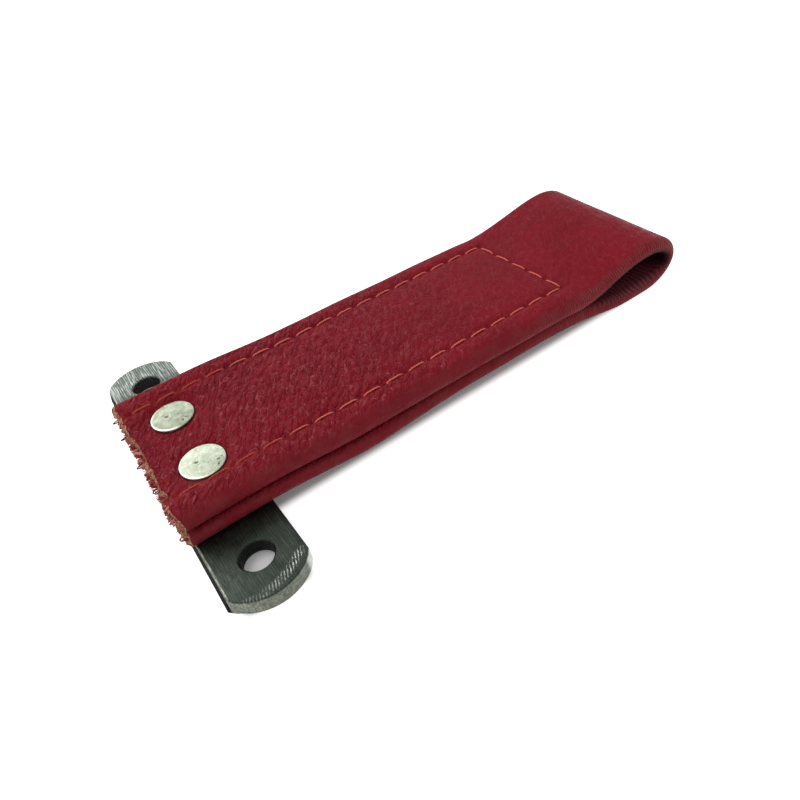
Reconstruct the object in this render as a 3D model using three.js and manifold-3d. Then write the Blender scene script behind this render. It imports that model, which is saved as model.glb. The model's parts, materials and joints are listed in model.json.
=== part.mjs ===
// Leather strap pull: a strip of red leather wrapped round a webbing core, folded into
// a loop, sewn with a U of stitches and fixed by two rivets to a flat steel plate.
// Millimetres, +Z up. The origin is the middle of the plate's underside. X runs along
// the strap towards the loop, Y runs along the plate.
import * as THREE from 'three';
import { mergeVertices } from 'three/addons/utils/BufferGeometryUtils.js';
import Module from 'manifold-3d';

const wasm = await Module();
wasm.setup();

// Mounting plate
const screwHolePitch = 50.8;
const screwHoleRadius = 2.55;
const earTip = 7.4;
const plateWidth = 12.7;
const plateThickness = 2.8;
const plateEndRise = 3.3;
const plateCornerClip = 0.6;
const plateEdgeBreak = 0.25;

// Strap
const strapWidth = 33.4;
const strapOffset = -2.2;
const cutEndOverhang = 0.1;
const legThickness = 3.5;
const plateLegThickness = 3.2;
const loopLegThickness = 3.0;
const upperLegExtra = 0.3;
const leatherThickness = 0.9;
const legGap = 0.2;
const plateSeatGap = 0.1;
const coreClearance = 0.25;
const coreOverhang = 1.2;
const rivetPinch = 0.55;
const pinchReach = 9;
const pinchFlat = 6.5;
const pinchEdgeMargin = 3.7;

// Side profile of the folded strap: heights of its underside and the loop
const sagHeight = 1.6;
const sagPosition = 24;
const seamPosition = 70.7;
const seamHeight = 1.2;
const bellyFromSeam = 13.3;
const loopLength = 27.9;
const loopHeight = 10.9;
const loopNoseLength = 6.5;
const loopSkew = 0.08;
const lowerLegDrift = 1.1;
const driftStretch = 24;

// Rivets
const rivetSpacing = 13.7;
const rivetHeadRadius = 3.64;
const rivetRimThickness = 0.4;
const rivetRimBreak = 0.13;
const rivetDomeRise = 0.3;
const rivetShankRadius = 1.6;
const rivetTailRadius = 2.7;
const rivetTailDepth = 1.2;
const rivetClearance = 0.3;
const headSeatDepth = 0.45;
const headSeatGap = 0.15;

// Stitching
const threadRadius = 0.25;
const stitchInset = 5;
const stitchPitch = 4.48;
const crossStitches = 5;
const stitchRise = 0.1;
const stitchDip = 0.2;
const dipShare = 0.2;
const threadClearance = 0.12;

// Facets
const legStep = 5.2;
const noseSteps = 10;
const outerFacets = { flat: 8, edge: 4 };
const hollowFacets = { flat: 6, edge: 2 };
const coreFacets = { flat: 4, edge: 2 };
const arcFacets = 12;
const holeSides = 24;
const headSides = 32;
const turnedSides = 24;
const domeSteps = 3;
const threadSides = 6;
const mergeTolerance = 1e-5;

// Worked-out sizes
const cutEnd = -plateWidth / 2 - cutEndOverhang;
const plateLength = screwHolePitch + 2 * earTip;
const plateEdge = plateWidth / 2;
const halfWidth = strapWidth / 2;
const pinchHalfWidth = halfWidth - pinchEdgeMargin;
const stitchLine = halfWidth - stitchInset;
const channelDepth = stitchDip + threadRadius + threadClearance;
const channelHalfWidth = threadRadius + threadClearance;
const bellyPosition = seamPosition + bellyFromSeam;
const loopNose = seamPosition + loopLength - loopNoseLength - loopLegThickness / 2;
const cutterReach = 4;

// Smooth step from 0 at a to 1 at b
function ease(x, a, b) {
  const t = THREE.MathUtils.clamp((x - a) / (b - a), 0, 1);
  return t * t * (3 - 2 * t);
}

// Underside of the lower leg at x, with the strap lying on the plate and the floor
function underside(x) {
  const fromPlate = plateThickness + plateSeatGap;
  const sagging = THREE.MathUtils.lerp(fromPlate, sagHeight, ease(x, plateEdge, sagPosition));
  const level = THREE.MathUtils.lerp(sagging, seamHeight, ease(x, sagPosition, seamPosition));
  return level * (1 - ease(x, seamPosition - loopNoseLength, bellyPosition));
}

// Thickness of one leg at x: pressed at the plate, full along the seam, slim at the loop.
// The upper leg (leg 1) is a little fuller than the lower one (leg -1).
function thicknessAt(x, leg) {
  const swell = THREE.MathUtils.lerp(plateLegThickness, legThickness, ease(x, plateEdge, sagPosition));
  const sewn = swell + leg * upperLegExtra / 2;
  return THREE.MathUtils.lerp(sewn, loopLegThickness, ease(x, seamPosition, bellyPosition));
}

// Middle heights of the two legs
function lowerMiddle(x) {
  return underside(x) + thicknessAt(x, -1) / 2;
}

function upperMiddle(x) {
  const sewnX = Math.min(x, seamPosition);
  const stacked = underside(sewnX) + thicknessAt(sewnX, -1) + legGap + thicknessAt(sewnX, 1) / 2;
  const crest = loopHeight - loopLegThickness / 2;
  return THREE.MathUtils.lerp(stacked, crest, ease(x, seamPosition, loopNose));
}

// How far the rivets pinch one leg thinner at (x, across)
function pinch(x, across) {
  const along = Math.exp(-((x / pinchReach) ** 2));
  return rivetPinch * along * (1 - ease(Math.abs(across), pinchFlat, pinchHalfWidth));
}

// Outer surfaces of the sewn stretch
function topSurface(x, across) {
  return upperMiddle(x) + thicknessAt(x, 1) / 2 - 2 * pinch(x, across);
}

function bottomSurface(x) {
  return underside(x);
}

// Stations of the strip's middle line: along the upper leg, round the nose, back below
function stripStations(start = cutEnd) {
  const pressed = [start, -plateEdge / 2, 0, plateEdge / 2, plateEdge];
  const legCount = Math.round((loopNose - plateEdge) / legStep);
  const free = Array.from({ length: legCount }, (_, i) => (
    THREE.MathUtils.lerp(plateEdge, loopNose, (i + 1) / legCount)
  ));
  const along = [...pressed, ...free];
  const upper = along.map((x) => ({ x, z: upperMiddle(x), leg: 1 }));
  const lower = along.map((x) => ({ x, z: lowerMiddle(x), leg: -1 })).reverse();
  const middle = (upperMiddle(loopNose) + lowerMiddle(loopNose)) / 2;
  const rise = upperMiddle(loopNose) - middle;
  const nose = Array.from({ length: noseSteps - 1 }, (_, i) => {
    const turn = Math.PI * (i + 1) / noseSteps;
    return { x: loopNose + loopNoseLength * Math.sin(turn), z: middle + rise * Math.cos(turn), leg: 0 };
  });
  return [...upper, ...nose, ...lower];
}

// A flat tube's section: [across, out] points, counter-clockwise, with rounded edges
function flatSection(half, thick, facets) {
  const radius = thick / 2;
  const points = [];
  for (const side of [1, -1]) {
    for (let i = 0; i <= facets.edge; i += 1) {
      const turn = -Math.PI / 2 + Math.PI * i / facets.edge;
      points.push([side * (half - radius + radius * Math.cos(turn)), side * radius * Math.sin(turn)]);
    }
    for (let i = 1; i < facets.flat; i += 1) {
      points.push([side * (half - radius) * (1 - 2 * i / facets.flat), side * radius]);
    }
  }
  return points;
}

// Carries a section along the strip, inset from the strip's outer form by the given amount
function stripRings(inset, facets, start = cutEnd) {
  const stations = stripStations(start);
  return stations.map((station, i) => {
    const before = stations[Math.max(i - 1, 0)];
    const after = stations[Math.min(i + 1, stations.length - 1)];
    const run = Math.hypot(after.x - before.x, after.z - before.z);
    const out = { x: -(after.z - before.z) / run, z: (after.x - before.x) / run };
    const thick = thicknessAt(station.x, station.leg) - 2 * inset;
    const sway = loopSkew * ease(station.x, seamPosition, loopNose);
    const drift = station.leg < 0 ? driftAt(station.x) : 0;
    return flatSection(halfWidth - inset, thick, facets).map(([across, lift]) => {
      const layer = station.leg < 0 ? (lift < 0 ? 1 : 0) : (lift < 0 ? 1 : 2);
      return new THREE.Vector3(
        station.x + out.x * lift + sway * across,
        strapOffset + across + drift,
        station.z + out.z * lift - layer * pinch(station.x, across),
      );
    });
  });
}

// The lower leg's fold wanders sideways between the plate and the loop
function driftAt(x) {
  const out = ease(x, sagPosition, sagPosition + driftStretch);
  return lowerLegDrift * out * (1 - ease(x, seamPosition, bellyPosition));
}

// Skins a run of equal rings into one closed body
function loft(rings) {
  const size = rings[0].length;
  const points = rings.flat();
  const triangles = [];
  for (let i = 0; i + 1 < rings.length; i += 1) {
    for (let j = 0; j < size; j += 1) {
      const a = i * size + j;
      const b = i * size + (j + 1) % size;
      triangles.push(a, b, a + size, b, b + size, a + size);
    }
  }
  const flat = (ring, u, v) => ring.map((p) => new THREE.Vector2(p[u], p[v]));
  const last = (rings.length - 1) * size;
  for (const [offset, ring, turned] of [[0, rings[0], true], [last, rings.at(-1), false]]) {
    const [u, v] = widestAxes(ring);
    const outline = flat(ring, u, v);
    const forward = THREE.ShapeUtils.isClockWise(outline) ? [...outline].reverse() : outline;
    const index = forward === outline ? (k) => k : (k) => size - 1 - k;
    const ringNormal = ringDirection(ring);
    const along = ringCentre(rings[turned ? 1 : rings.length - 2]).sub(ringCentre(ring));
    const outward = ringNormal.dot(along) < 0;
    for (const face of THREE.ShapeUtils.triangulateShape(forward, [])) {
      const [p, q, r] = face.map(index);
      const normal = new THREE.Vector3().crossVectors(
        ring[q].clone().sub(ring[p]),
        ring[r].clone().sub(ring[p]),
      );
      const agrees = (normal.dot(ringNormal) > 0) === outward;
      triangles.push(offset + p, offset + (agrees ? q : r), offset + (agrees ? r : q));
    }
  }
  const geometry = new THREE.BufferGeometry();
  geometry.setAttribute('position', new THREE.Float32BufferAttribute(points.flatMap((p) => p.toArray()), 3));
  geometry.setIndex(triangles);
  return geometry;
}

function ringCentre(ring) {
  return ring.reduce((sum, p) => sum.add(p), new THREE.Vector3()).divideScalar(ring.length);
}

function ringDirection(ring) {
  const centre = ringCentre(ring);
  const normal = new THREE.Vector3();
  ring.forEach((p, i) => {
    const next = ring[(i + 1) % ring.length];
    normal.add(new THREE.Vector3().crossVectors(p.clone().sub(centre), next.clone().sub(centre)));
  });
  return normal.normalize();
}

// The two axes in which a flat ring shows most area
function widestAxes(ring) {
  const normal = ringDirection(ring);
  const size = { x: Math.abs(normal.x), y: Math.abs(normal.y), z: Math.abs(normal.z) };
  const drop = Object.keys(size).sort((p, q) => size[q] - size[p])[0];
  return ['x', 'y', 'z'].filter((axis) => axis !== drop);
}

// Turns a closed geometry into a solid with shared corners
function solid(geometry) {
  const bare = geometry.clone();
  bare.deleteAttribute('normal');
  bare.deleteAttribute('uv');
  const merged = mergeVertices(bare, mergeTolerance);
  return new wasm.Manifold(new wasm.Mesh({
    numProp: 3,
    vertProperties: new Float32Array(merged.attributes.position.array),
    triVerts: new Uint32Array(merged.index.array),
  }));
}

function geometryOf(body) {
  const mesh = body.getMesh();
  const geometry = new THREE.BufferGeometry();
  geometry.setAttribute('position', new THREE.Float32BufferAttribute(mesh.vertProperties, 3));
  geometry.setIndex(Array.from(mesh.triVerts));
  return geometry;
}

// An upright cylinder or cone between two heights
function upright(x, y, low, high, lowRadius, highRadius, sides) {
  const geometry = new THREE.CylinderGeometry(highRadius, lowRadius, high - low, sides);
  geometry.rotateX(Math.PI / 2);
  geometry.translate(x, y, (low + high) / 2);
  return solid(geometry);
}

const rivetPlaces = [-1, 1].map((side) => strapOffset + side * rivetSpacing / 2);
const headSeat = (y) => topSurface(0, y - strapOffset) - headSeatDepth;

// Holes for both shanks through everything between two heights
function shankHoles(low, high) {
  const holes = rivetPlaces.map((y) => (
    upright(0, y, low, high, rivetShankRadius + rivetClearance, rivetShankRadius + rivetClearance, holeSides)
  ));
  return holes[0].add(holes[1]);
}

// Plate outline: straight sides, corners clipped, shallow arcs at both ends
function plateOutline() {
  const rise = plateEndRise;
  const radius = (plateEdge ** 2 + rise ** 2) / (2 * rise);
  const spread = Math.asin((plateEdge - plateCornerClip) / radius);
  const tip = plateLength / 2;
  const shoulder = tip - rise - plateCornerClip / 2;
  const shape = new THREE.Shape();
  shape.moveTo(plateEdge, -shoulder);
  shape.lineTo(plateEdge, shoulder);
  shape.absarc(0, tip - radius, radius, Math.PI / 2 - spread, Math.PI / 2 + spread, false);
  shape.lineTo(-plateEdge, shoulder);
  shape.lineTo(-plateEdge, -shoulder);
  shape.absarc(0, radius - tip, radius, -Math.PI / 2 - spread, -Math.PI / 2 + spread, false);
  shape.closePath();
  for (const side of [-1, 1]) {
    const hole = new THREE.Path();
    hole.absarc(0, side * screwHolePitch / 2, screwHoleRadius + plateEdgeBreak, 0, 2 * Math.PI, true);
    shape.holes.push(hole);
  }
  return shape;
}

function mountingPlate() {
  const slab = new THREE.ExtrudeGeometry(plateOutline(), {
    depth: plateThickness - 2 * plateEdgeBreak,
    bevelEnabled: true,
    bevelThickness: plateEdgeBreak,
    bevelSize: plateEdgeBreak,
    bevelOffset: -plateEdgeBreak,
    bevelSegments: 1,
    curveSegments: arcFacets,
  });
  slab.translate(0, 0, plateEdgeBreak);
  let body = solid(slab).subtract(shankHoles(-cutterReach, plateThickness + cutterReach));
  for (const y of rivetPlaces) {
    const wide = rivetTailRadius + rivetClearance;
    const narrow = rivetShankRadius + rivetClearance;
    const depth = rivetTailDepth + rivetClearance;
    const slope = (wide - narrow) / depth;
    body = body.subtract(upright(0, y, -cutterReach, depth, wide + slope * cutterReach, narrow, holeSides));
  }
  return geometryOf(body);
}

// Slots that the thread is pressed into, cut into an outer face of the sewn stretch
function stitchChannels(surface, side) {
  const stations = stripStations().filter((s) => s.leg === 1 && s.x < seamPosition).map((s) => s.x);
  const along = [cutEnd - cutterReach, ...stations, seamPosition + channelHalfWidth];
  const cuts = [-stitchLine, stitchLine].map((across) => solid(loft(along.map((x) => {
    const face = surface(Math.max(x, cutEnd), across);
    const floor = face - side * channelDepth;
    const sky = face + side * cutterReach;
    const [low, high] = side > 0 ? [floor, sky] : [sky, floor];
    const y = strapOffset + across;
    return [
      new THREE.Vector3(x, y - channelHalfWidth, low),
      new THREE.Vector3(x, y + channelHalfWidth, low),
      new THREE.Vector3(x, y + channelHalfWidth, high),
      new THREE.Vector3(x, y - channelHalfWidth, high),
    ];
  }))));
  const face = surface(seamPosition, 0);
  const height = channelDepth + cutterReach;
  const cross = new THREE.BoxGeometry(2 * channelHalfWidth, 2 * stitchLine, height);
  cross.translate(seamPosition, strapOffset, face + side * (height / 2 - channelDepth));
  return cuts[0].add(cuts[1]).add(solid(cross));
}

function leatherCover() {
  const outer = solid(loft(stripRings(0, outerFacets)));
  const hollow = solid(loft(extended(stripRings(leatherThickness, hollowFacets))));
  let body = outer.subtract(hollow);
  body = body.subtract(stitchChannels(topSurface, 1)).subtract(stitchChannels(bottomSurface, -1));
  body = body.subtract(shankHoles(0, loopHeight + cutterReach));
  for (const y of rivetPlaces) {
    const radius = rivetHeadRadius + rivetClearance;
    body = body.subtract(upright(0, y, headSeat(y), loopHeight + cutterReach, radius, radius, headSides));
  }
  return geometryOf(body);
}

// Adds a ring past each cut end, so that a hollow runs out through it
function extended(rings) {
  const pushed = (ring) => ring.map((p) => p.clone().setX(p.x - cutterReach));
  return [pushed(rings[0]), ...rings, pushed(rings.at(-1))];
}

function coreWebbing() {
  const core = solid(loft(stripRings(leatherThickness + coreClearance, coreFacets, cutEnd - coreOverhang)));
  return geometryOf(core.subtract(shankHoles(0, loopHeight + cutterReach)));
}

// Flat-headed rivet: domed head on the leather, shank, and a tail set flush below
function rivet(y) {
  const headLow = headSeat(y) + headSeatGap;
  const headHigh = headLow + rivetRimThickness;
  const dome = Array.from({ length: domeSteps }, (_, i) => {
    const turn = Math.PI / 2 * i / domeSteps;
    return [(rivetHeadRadius - rivetRimBreak) * Math.cos(turn), headHigh + rivetDomeRise * Math.sin(turn)];
  });
  const profile = [
    [0, 0],
    [rivetTailRadius, 0],
    [rivetShankRadius, rivetTailDepth],
    [rivetShankRadius, headLow],
    [rivetHeadRadius - rivetRimBreak, headLow],
    [rivetHeadRadius, headLow + rivetRimBreak],
    [rivetHeadRadius, headHigh - rivetRimBreak],
    ...dome,
    [0, headHigh + rivetDomeRise],
  ].map(([r, z]) => new THREE.Vector2(r, z));
  const turned = new THREE.LatheGeometry(profile, turnedSides);
  turned.rotateX(Math.PI / 2);
  turned.translate(0, y, 0);
  return geometryOf(solid(turned));
}

// Points along the U of stitches, dipping between stitches and rising over each one.
// Where the strap is pressed on the plate, the thread stays down in its slot.
function stitchRoute(surface, side, pressed) {
  const lineStitches = Math.ceil((seamPosition - cutEnd) / stitchPitch);
  const crossPitch = 2 * stitchLine / crossStitches;
  const route = [];
  const place = (x, across, raised) => {
    if (x < cutEnd) return;
    const flat = pressed && x < plateEdge + stitchPitch;
    const lift = raised && !flat ? stitchRise : -stitchDip;
    route.push(new THREE.Vector3(x, strapOffset + across, surface(x, across) + side * lift));
  };
  const stitch = (pointAt) => {
    place(...pointAt(0), false);
    place(...pointAt(dipShare), true);
    place(...pointAt(1 - dipShare), true);
  };
  for (let i = lineStitches; i > 0; i -= 1) {
    stitch((share) => [seamPosition - (i - share) * stitchPitch, stitchLine]);
  }
  for (let i = 0; i < crossStitches; i += 1) {
    stitch((share) => [seamPosition, stitchLine - (i + share) * crossPitch]);
  }
  for (let i = 0; i < lineStitches; i += 1) {
    stitch((share) => [seamPosition - (i + share) * stitchPitch, -stitchLine]);
  }
  return route;
}

function thread(surface, side, pressed) {
  const route = stitchRoute(surface, side, pressed);
  return loft(route.map((point, i) => {
    const along = route[Math.min(i + 1, route.length - 1)].clone().sub(route[Math.max(i - 1, 0)]);
    const level = new THREE.Vector3(-along.y, along.x, 0).normalize();
    const upward = new THREE.Vector3(0, 0, 1);
    return Array.from({ length: threadSides }, (_, k) => {
      const turn = 2 * Math.PI * k / threadSides;
      return point.clone()
        .addScaledVector(level, threadRadius * Math.cos(turn))
        .addScaledVector(upward, threadRadius * Math.sin(turn));
    });
  }));
}

// Materials
const finish = (color, roughness, metalness) => (
  new THREE.MeshStandardMaterial({ color, roughness, metalness })
);
const crimsonLeather = () => finish(0x8a1626, 0.55, 0);
const redWebbing = () => finish(0x8c1a22, 0.95, 0);
const darkSteel = () => finish(0x3e4642, 0.45, 0.85);
const zincPlate = () => finish(0xb9c2b2, 0.35, 0.8);
const coralThread = () => finish(0xd24a38, 0.7, 0);

function named(name, geometry, material) {
  const mesh = new THREE.Mesh(geometry, material);
  mesh.name = name;
  return mesh;
}

const strapPull = new THREE.Group();
strapPull.add(named('mounting_plate', mountingPlate(), darkSteel()));
strapPull.add(named('leather_cover', leatherCover(), crimsonLeather()));
strapPull.add(named('core_webbing', coreWebbing(), redWebbing()));
strapPull.add(named('rivet_near', rivet(rivetPlaces[0]), zincPlate()));
strapPull.add(named('rivet_far', rivet(rivetPlaces[1]), zincPlate()));
strapPull.add(named('top_thread', thread(topSurface, 1, false), coralThread()));
strapPull.add(named('bottom_thread', thread(bottomSurface, -1, true), coralThread()));

export default strapPull;
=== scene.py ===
# %% [markdown]
# A leather strap pull, lesson by lesson.
# The real thing is one strip of red leather rolled round a flat webbing, folded into a loop,
# sewn with a U of coral thread and held on a dark steel plate by two plated rivets.
# The packed model gives every piece its size and place. Here each piece gets its true surface:
# first as a formula on a grid of points, then with a finish made of nodes.

# %% Load the packed model
import bmesh
import bpy
import json
import math
import numpy as np
from mathutils import Matrix, Vector

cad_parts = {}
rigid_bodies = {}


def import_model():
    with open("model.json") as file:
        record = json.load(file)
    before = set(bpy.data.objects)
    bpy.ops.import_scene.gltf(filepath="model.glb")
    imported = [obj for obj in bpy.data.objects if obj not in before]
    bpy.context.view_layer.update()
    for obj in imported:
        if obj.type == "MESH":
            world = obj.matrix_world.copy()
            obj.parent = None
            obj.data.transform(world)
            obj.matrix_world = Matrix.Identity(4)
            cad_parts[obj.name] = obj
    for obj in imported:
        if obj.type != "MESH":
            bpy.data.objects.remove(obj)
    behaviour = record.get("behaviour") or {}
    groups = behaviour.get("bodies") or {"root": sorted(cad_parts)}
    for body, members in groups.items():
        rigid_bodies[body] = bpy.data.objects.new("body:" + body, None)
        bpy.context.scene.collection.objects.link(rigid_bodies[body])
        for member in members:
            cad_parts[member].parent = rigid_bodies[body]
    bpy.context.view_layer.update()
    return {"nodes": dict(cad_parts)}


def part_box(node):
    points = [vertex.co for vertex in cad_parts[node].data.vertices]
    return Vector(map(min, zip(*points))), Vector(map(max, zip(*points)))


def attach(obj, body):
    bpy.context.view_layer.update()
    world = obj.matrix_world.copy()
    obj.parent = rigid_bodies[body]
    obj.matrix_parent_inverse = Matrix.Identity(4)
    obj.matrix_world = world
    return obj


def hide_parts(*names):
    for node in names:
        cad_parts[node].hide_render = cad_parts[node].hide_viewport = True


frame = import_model()
print("packed nodes:", ", ".join(sorted(frame["nodes"])))

# %% [markdown]
# The photograph was taken from the plate's end, above and to one side, with a short lens and
# the camera rolled a little. Matching it needs only a few numbers: two angles for where the
# camera stands, one for its roll, a distance, a point to look at and a focal length.
# Setting the view first means that every later piece can be judged against the photograph.

# %% Camera
MM = 0.001
view_azimuth = math.radians(-28.03)
view_elevation = math.radians(40.981)
view_roll = math.radians(-10.717)
view_distance = 112.28 * MM
view_target = Vector((34.845, -10.216, 0)) * MM
focal_length = 28.4625
film_width = 36
nearest_seen = 5 * MM


def camera_matrix(azimuth, elevation, roll, distance, target):
    """Back points from target to camera, right is level, and both right and up turn by roll about back."""
    back = Vector((
        math.sin(azimuth) * math.cos(elevation),
        -math.cos(azimuth) * math.cos(elevation),
        math.sin(elevation),
    ))
    right = (-back).cross(Vector((0, 0, 1))).normalized()
    up = right.cross(-back)
    turned_right = math.cos(roll) * right + math.sin(roll) * up
    turned_up = -math.sin(roll) * right + math.cos(roll) * up
    matrix = Matrix((turned_right, turned_up, back)).transposed().to_4x4()
    matrix.translation = target + back * distance
    return matrix


camera_data = bpy.data.cameras.new("photo_camera")
camera_data.lens = focal_length
camera_data.sensor_width = film_width
camera_data.clip_start = nearest_seen
camera = bpy.data.objects.new("photo_camera", camera_data)
camera.matrix_world = camera_matrix(view_azimuth, view_elevation, view_roll, view_distance, view_target)
bpy.context.collection.objects.link(camera)
bpy.context.scene.camera = camera
bpy.context.scene.view_settings.view_transform = "Standard"
print("camera stands at", [round(c / MM, 1) for c in camera.matrix_world.translation], "mm")

# %% [markdown]
# The pieces are thin and fit closely, so their places are read off the packed model: the plate
# from its own box, the seam from the thread's box, the loop from the leather's box.
# What a box can't tell, such as the thickness of one leg, is a named size in millimetres.

# %% Sizes read from the packed model
def box_mm(node):
    """A node's lowest and highest corners in millimetres."""
    low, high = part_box(node)
    return np.array(low) / MM, np.array(high) / MM


plate_low, plate_high = box_mm("mounting_plate")
cover_low, cover_high = box_mm("leather_cover")
thread_low, thread_high = box_mm("top_thread")
rivet_boxes = [box_mm("rivet_near"), box_mm("rivet_far")]

thread_radius = 0.25
plate_edge = plate_high[0]
plate_thickness = plate_high[2]
plate_tip = plate_high[1]
strap_middle = (thread_low[1] + thread_high[1]) / 2
stitch_line = (thread_high[1] - thread_low[1]) / 2 - thread_radius
seam_x = thread_high[0] - thread_radius
cut_x = cover_low[0]
loop_height = cover_high[2]
stitch_inset = 5.0
half_width = stitch_line + stitch_inset
rivet_places = np.array([(low[1] + high[1]) / 2 for low, high in rivet_boxes])
head_radius = (rivet_boxes[0][1][0] - rivet_boxes[0][0][0]) / 2
head_top = rivet_boxes[0][1][2]
print("strap %.1f wide, seam ends at %.1f, loop %.1f high" % (2 * half_width, seam_x, loop_height))

# %% [markdown]
# These sizes are inside the strap or belong to its curve, and they are the ones that the packed
# model was built with. With the same numbers the new surface follows the old one closely. Only
# the upper leg is made a little fuller, because it looks plumper in the photograph.

# %% Sizes of the folded strap
leg_thickness = 3.5
pressed_thickness = 3.2
loop_thickness = 3.0
upper_leg_extra = 0.7
leather_thickness = 0.9
leg_gap = 0.2
seat_gap = 0.1
sag_height = 1.6
sag_x = 24
seam_height = 1.2
belly_x = seam_x + 13.3
nose_length = 6.5
loop_length = 27.9
nose_x = seam_x + loop_length - nose_length - loop_thickness / 2
loop_skew = 0.08
lower_leg_drift = 1.1
drift_stretch = 24
pinch_depth = 0.55
pinch_reach = 9
pinch_flat = 6.5
pinch_fade = half_width - 3.7
print("legs %.1f mm thick, middle line turns at x = %.1f mm" % (leg_thickness, nose_x + nose_length))

# %% [markdown]
# A folded strap seen from the side is two nearly level legs and a teardrop nose.
# It could be drawn by hand as a curve, but a few smooth steps say more: the lower leg comes off
# the plate, sags, and meets the floor at the belly of the loop, and the upper leg rides on it
# until the seam lets go and the loop swells. Each height is a function of x, written for arrays.

# %% The strap's side profile
def ease(x, start, end):
    """Smooth step: 3t^2 - 2t^3, with t running from 0 at start to 1 at end."""
    t = np.clip((x - start) / (end - start), 0, 1)
    return t * t * (3 - 2 * t)


def blend(a, b, share):
    """a where share is 0, b where it is 1."""
    return a + (b - a) * share


def bell(distance, reach):
    """1 at no distance, falling as exp(-(distance / reach)^2)."""
    return np.exp(-((distance / reach) ** 2))


def underside(x):
    """Height of the lower leg's underside: the plate's top, then the sag, the seam, and the floor."""
    sagging = blend(plate_thickness + seat_gap, sag_height, ease(x, plate_edge, sag_x))
    level = blend(sagging, seam_height, ease(x, sag_x, seam_x))
    return level * (1 - ease(x, seam_x - nose_length, belly_x))


def thickness(x, leg):
    """Pressed on the plate, full along the seam, slim in the loop; leg is 1 above and -1 below."""
    swell = blend(pressed_thickness, leg_thickness, ease(x, plate_edge, sag_x))
    return blend(swell + leg * upper_leg_extra / 2, loop_thickness, ease(x, seam_x, belly_x))


def lower_middle(x):
    """Middle height of the lower leg: its underside plus half its thickness."""
    return underside(x) + thickness(x, -1) / 2


def upper_middle(x):
    """Middle height of the upper leg: stacked on the lower one, then rising to the crest of the loop."""
    sewn_x = np.minimum(x, seam_x)
    stacked = underside(sewn_x) + thickness(sewn_x, -1) + leg_gap + thickness(sewn_x, 1) / 2
    return blend(stacked, loop_height - loop_thickness / 2, ease(x, seam_x, nose_x))


def pinch(x, across):
    """How much thinner the rivets make one leg: a bell along x, flat and then fading across."""
    return pinch_depth * bell(x, pinch_reach) * (1 - ease(np.abs(across), pinch_flat, pinch_fade))


def lower_drift(x):
    """Sideways wander of the lower leg between the plate and the loop."""
    out = ease(x, sag_x, sag_x + drift_stretch)
    return lower_leg_drift * out * (1 - ease(x, seam_x, belly_x))


print("underside %.1f mm high at the sag, %.1f mm at the seam's end" % (underside(sag_x), underside(seam_x)))

# %% [markdown]
# The two legs and the nose are one strip, so they share one coordinate: the distance s along
# the strip from the upper cut end. Samples at even steps of s keep the faces of the mesh even
# round the nose, where even steps of x would leave them long and coarse.

# %% The strip's middle line
def middle_line(start_x, samples=1200):
    """Upper leg at even x, half an ellipse for the nose, lower leg back: x, z and leg of each sample."""
    x_leg = np.linspace(start_x, nose_x, samples)
    crest = upper_middle(nose_x)
    belly = lower_middle(nose_x)
    turn = np.linspace(0, math.pi, samples // 6)[1:-1]
    x_nose = nose_x + nose_length * np.sin(turn)
    z_nose = (crest + belly) / 2 + (crest - belly) / 2 * np.cos(turn)
    x = np.concatenate([x_leg, x_nose, x_leg[::-1]])
    z = np.concatenate([upper_middle(x_leg), z_nose, lower_middle(x_leg)[::-1]])
    leg = np.concatenate([np.ones(samples), np.cos(turn), -np.ones(samples)])
    return x, z, leg


def on_leg(leg):
    """True along the straight legs, where leg is 1 or -1; round the nose it runs from one to the other."""
    return np.abs(leg) > 0.999


def arc_length(x, z):
    """Distance along a polyline, starting at 0."""
    return np.concatenate([[0], np.cumsum(np.hypot(np.diff(x), np.diff(z)))])


def stations(start_x, upper_step, loop_step, lower_step):
    """The middle line sampled anew, with one step on the upper leg, one round the loop, one on the lower.

    Each station has its distance s, x, z, leg and the outward direction, a quarter turn from the path.
    """
    x, z, leg = middle_line(start_x)
    length = arc_length(x, z)
    upper = on_leg(leg) & (leg > 0)
    loop_start = np.interp(seam_x, x[upper], length[upper])
    loop_end = length[-1] - loop_start
    s = np.concatenate([
        np.linspace(0, loop_start, int(loop_start / upper_step), endpoint=False),
        np.linspace(loop_start, loop_end, int((loop_end - loop_start) / loop_step), endpoint=False),
        np.linspace(loop_end, length[-1], int(loop_start / lower_step)),
    ])
    xs, zs, legs = (np.interp(s, length, values) for values in (x, z, leg))
    dx, dz = np.gradient(xs, s), np.gradient(zs, s)
    run = np.hypot(dx, dz)
    return {"s": s, "x": xs, "z": zs, "leg": legs, "out_x": -dz / run, "out_z": dx / run}


strip_length = arc_length(*middle_line(cut_x)[:2])[-1]
print("a strip of %.0f mm folds into a pull of %.0f mm" % (strip_length, cover_high[0] - cut_x))

# %% [markdown]
# Leather isn't smooth: it has soft swells and, where it bends, rows of fine wrinkles.
# A simulation would be slow and hard to steer. Instead a little noise function gives smooth
# random heights on any grid of points, always the same for one seed, and the big shapes
# (dents, grooves, wrinkles) are added to the surface as true geometry.

# %% Smooth noise on arrays
NOISE_SIZE = 257


def smooth_noise(u, v, seed):
    """Random heights from -1 to 1 at whole numbers of (u, v), mixed between them by smooth steps."""
    table = np.random.default_rng(seed).uniform(-1, 1, (NOISE_SIZE, NOISE_SIZE))
    iu, iv = np.floor(u).astype(int), np.floor(v).astype(int)
    fu, fv = ease(u - iu, 0, 1), ease(v - iv, 0, 1)
    corners = [table[(iu + a) % NOISE_SIZE, (iv + b) % NOISE_SIZE] for b in (0, 1) for a in (0, 1)]
    return blend(blend(corners[0], corners[1], fu), blend(corners[2], corners[3], fu), fv)


print("noise halfway between four heights:", smooth_noise(np.array([0.5]), np.array([0.5]), 5).round(3))

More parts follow.
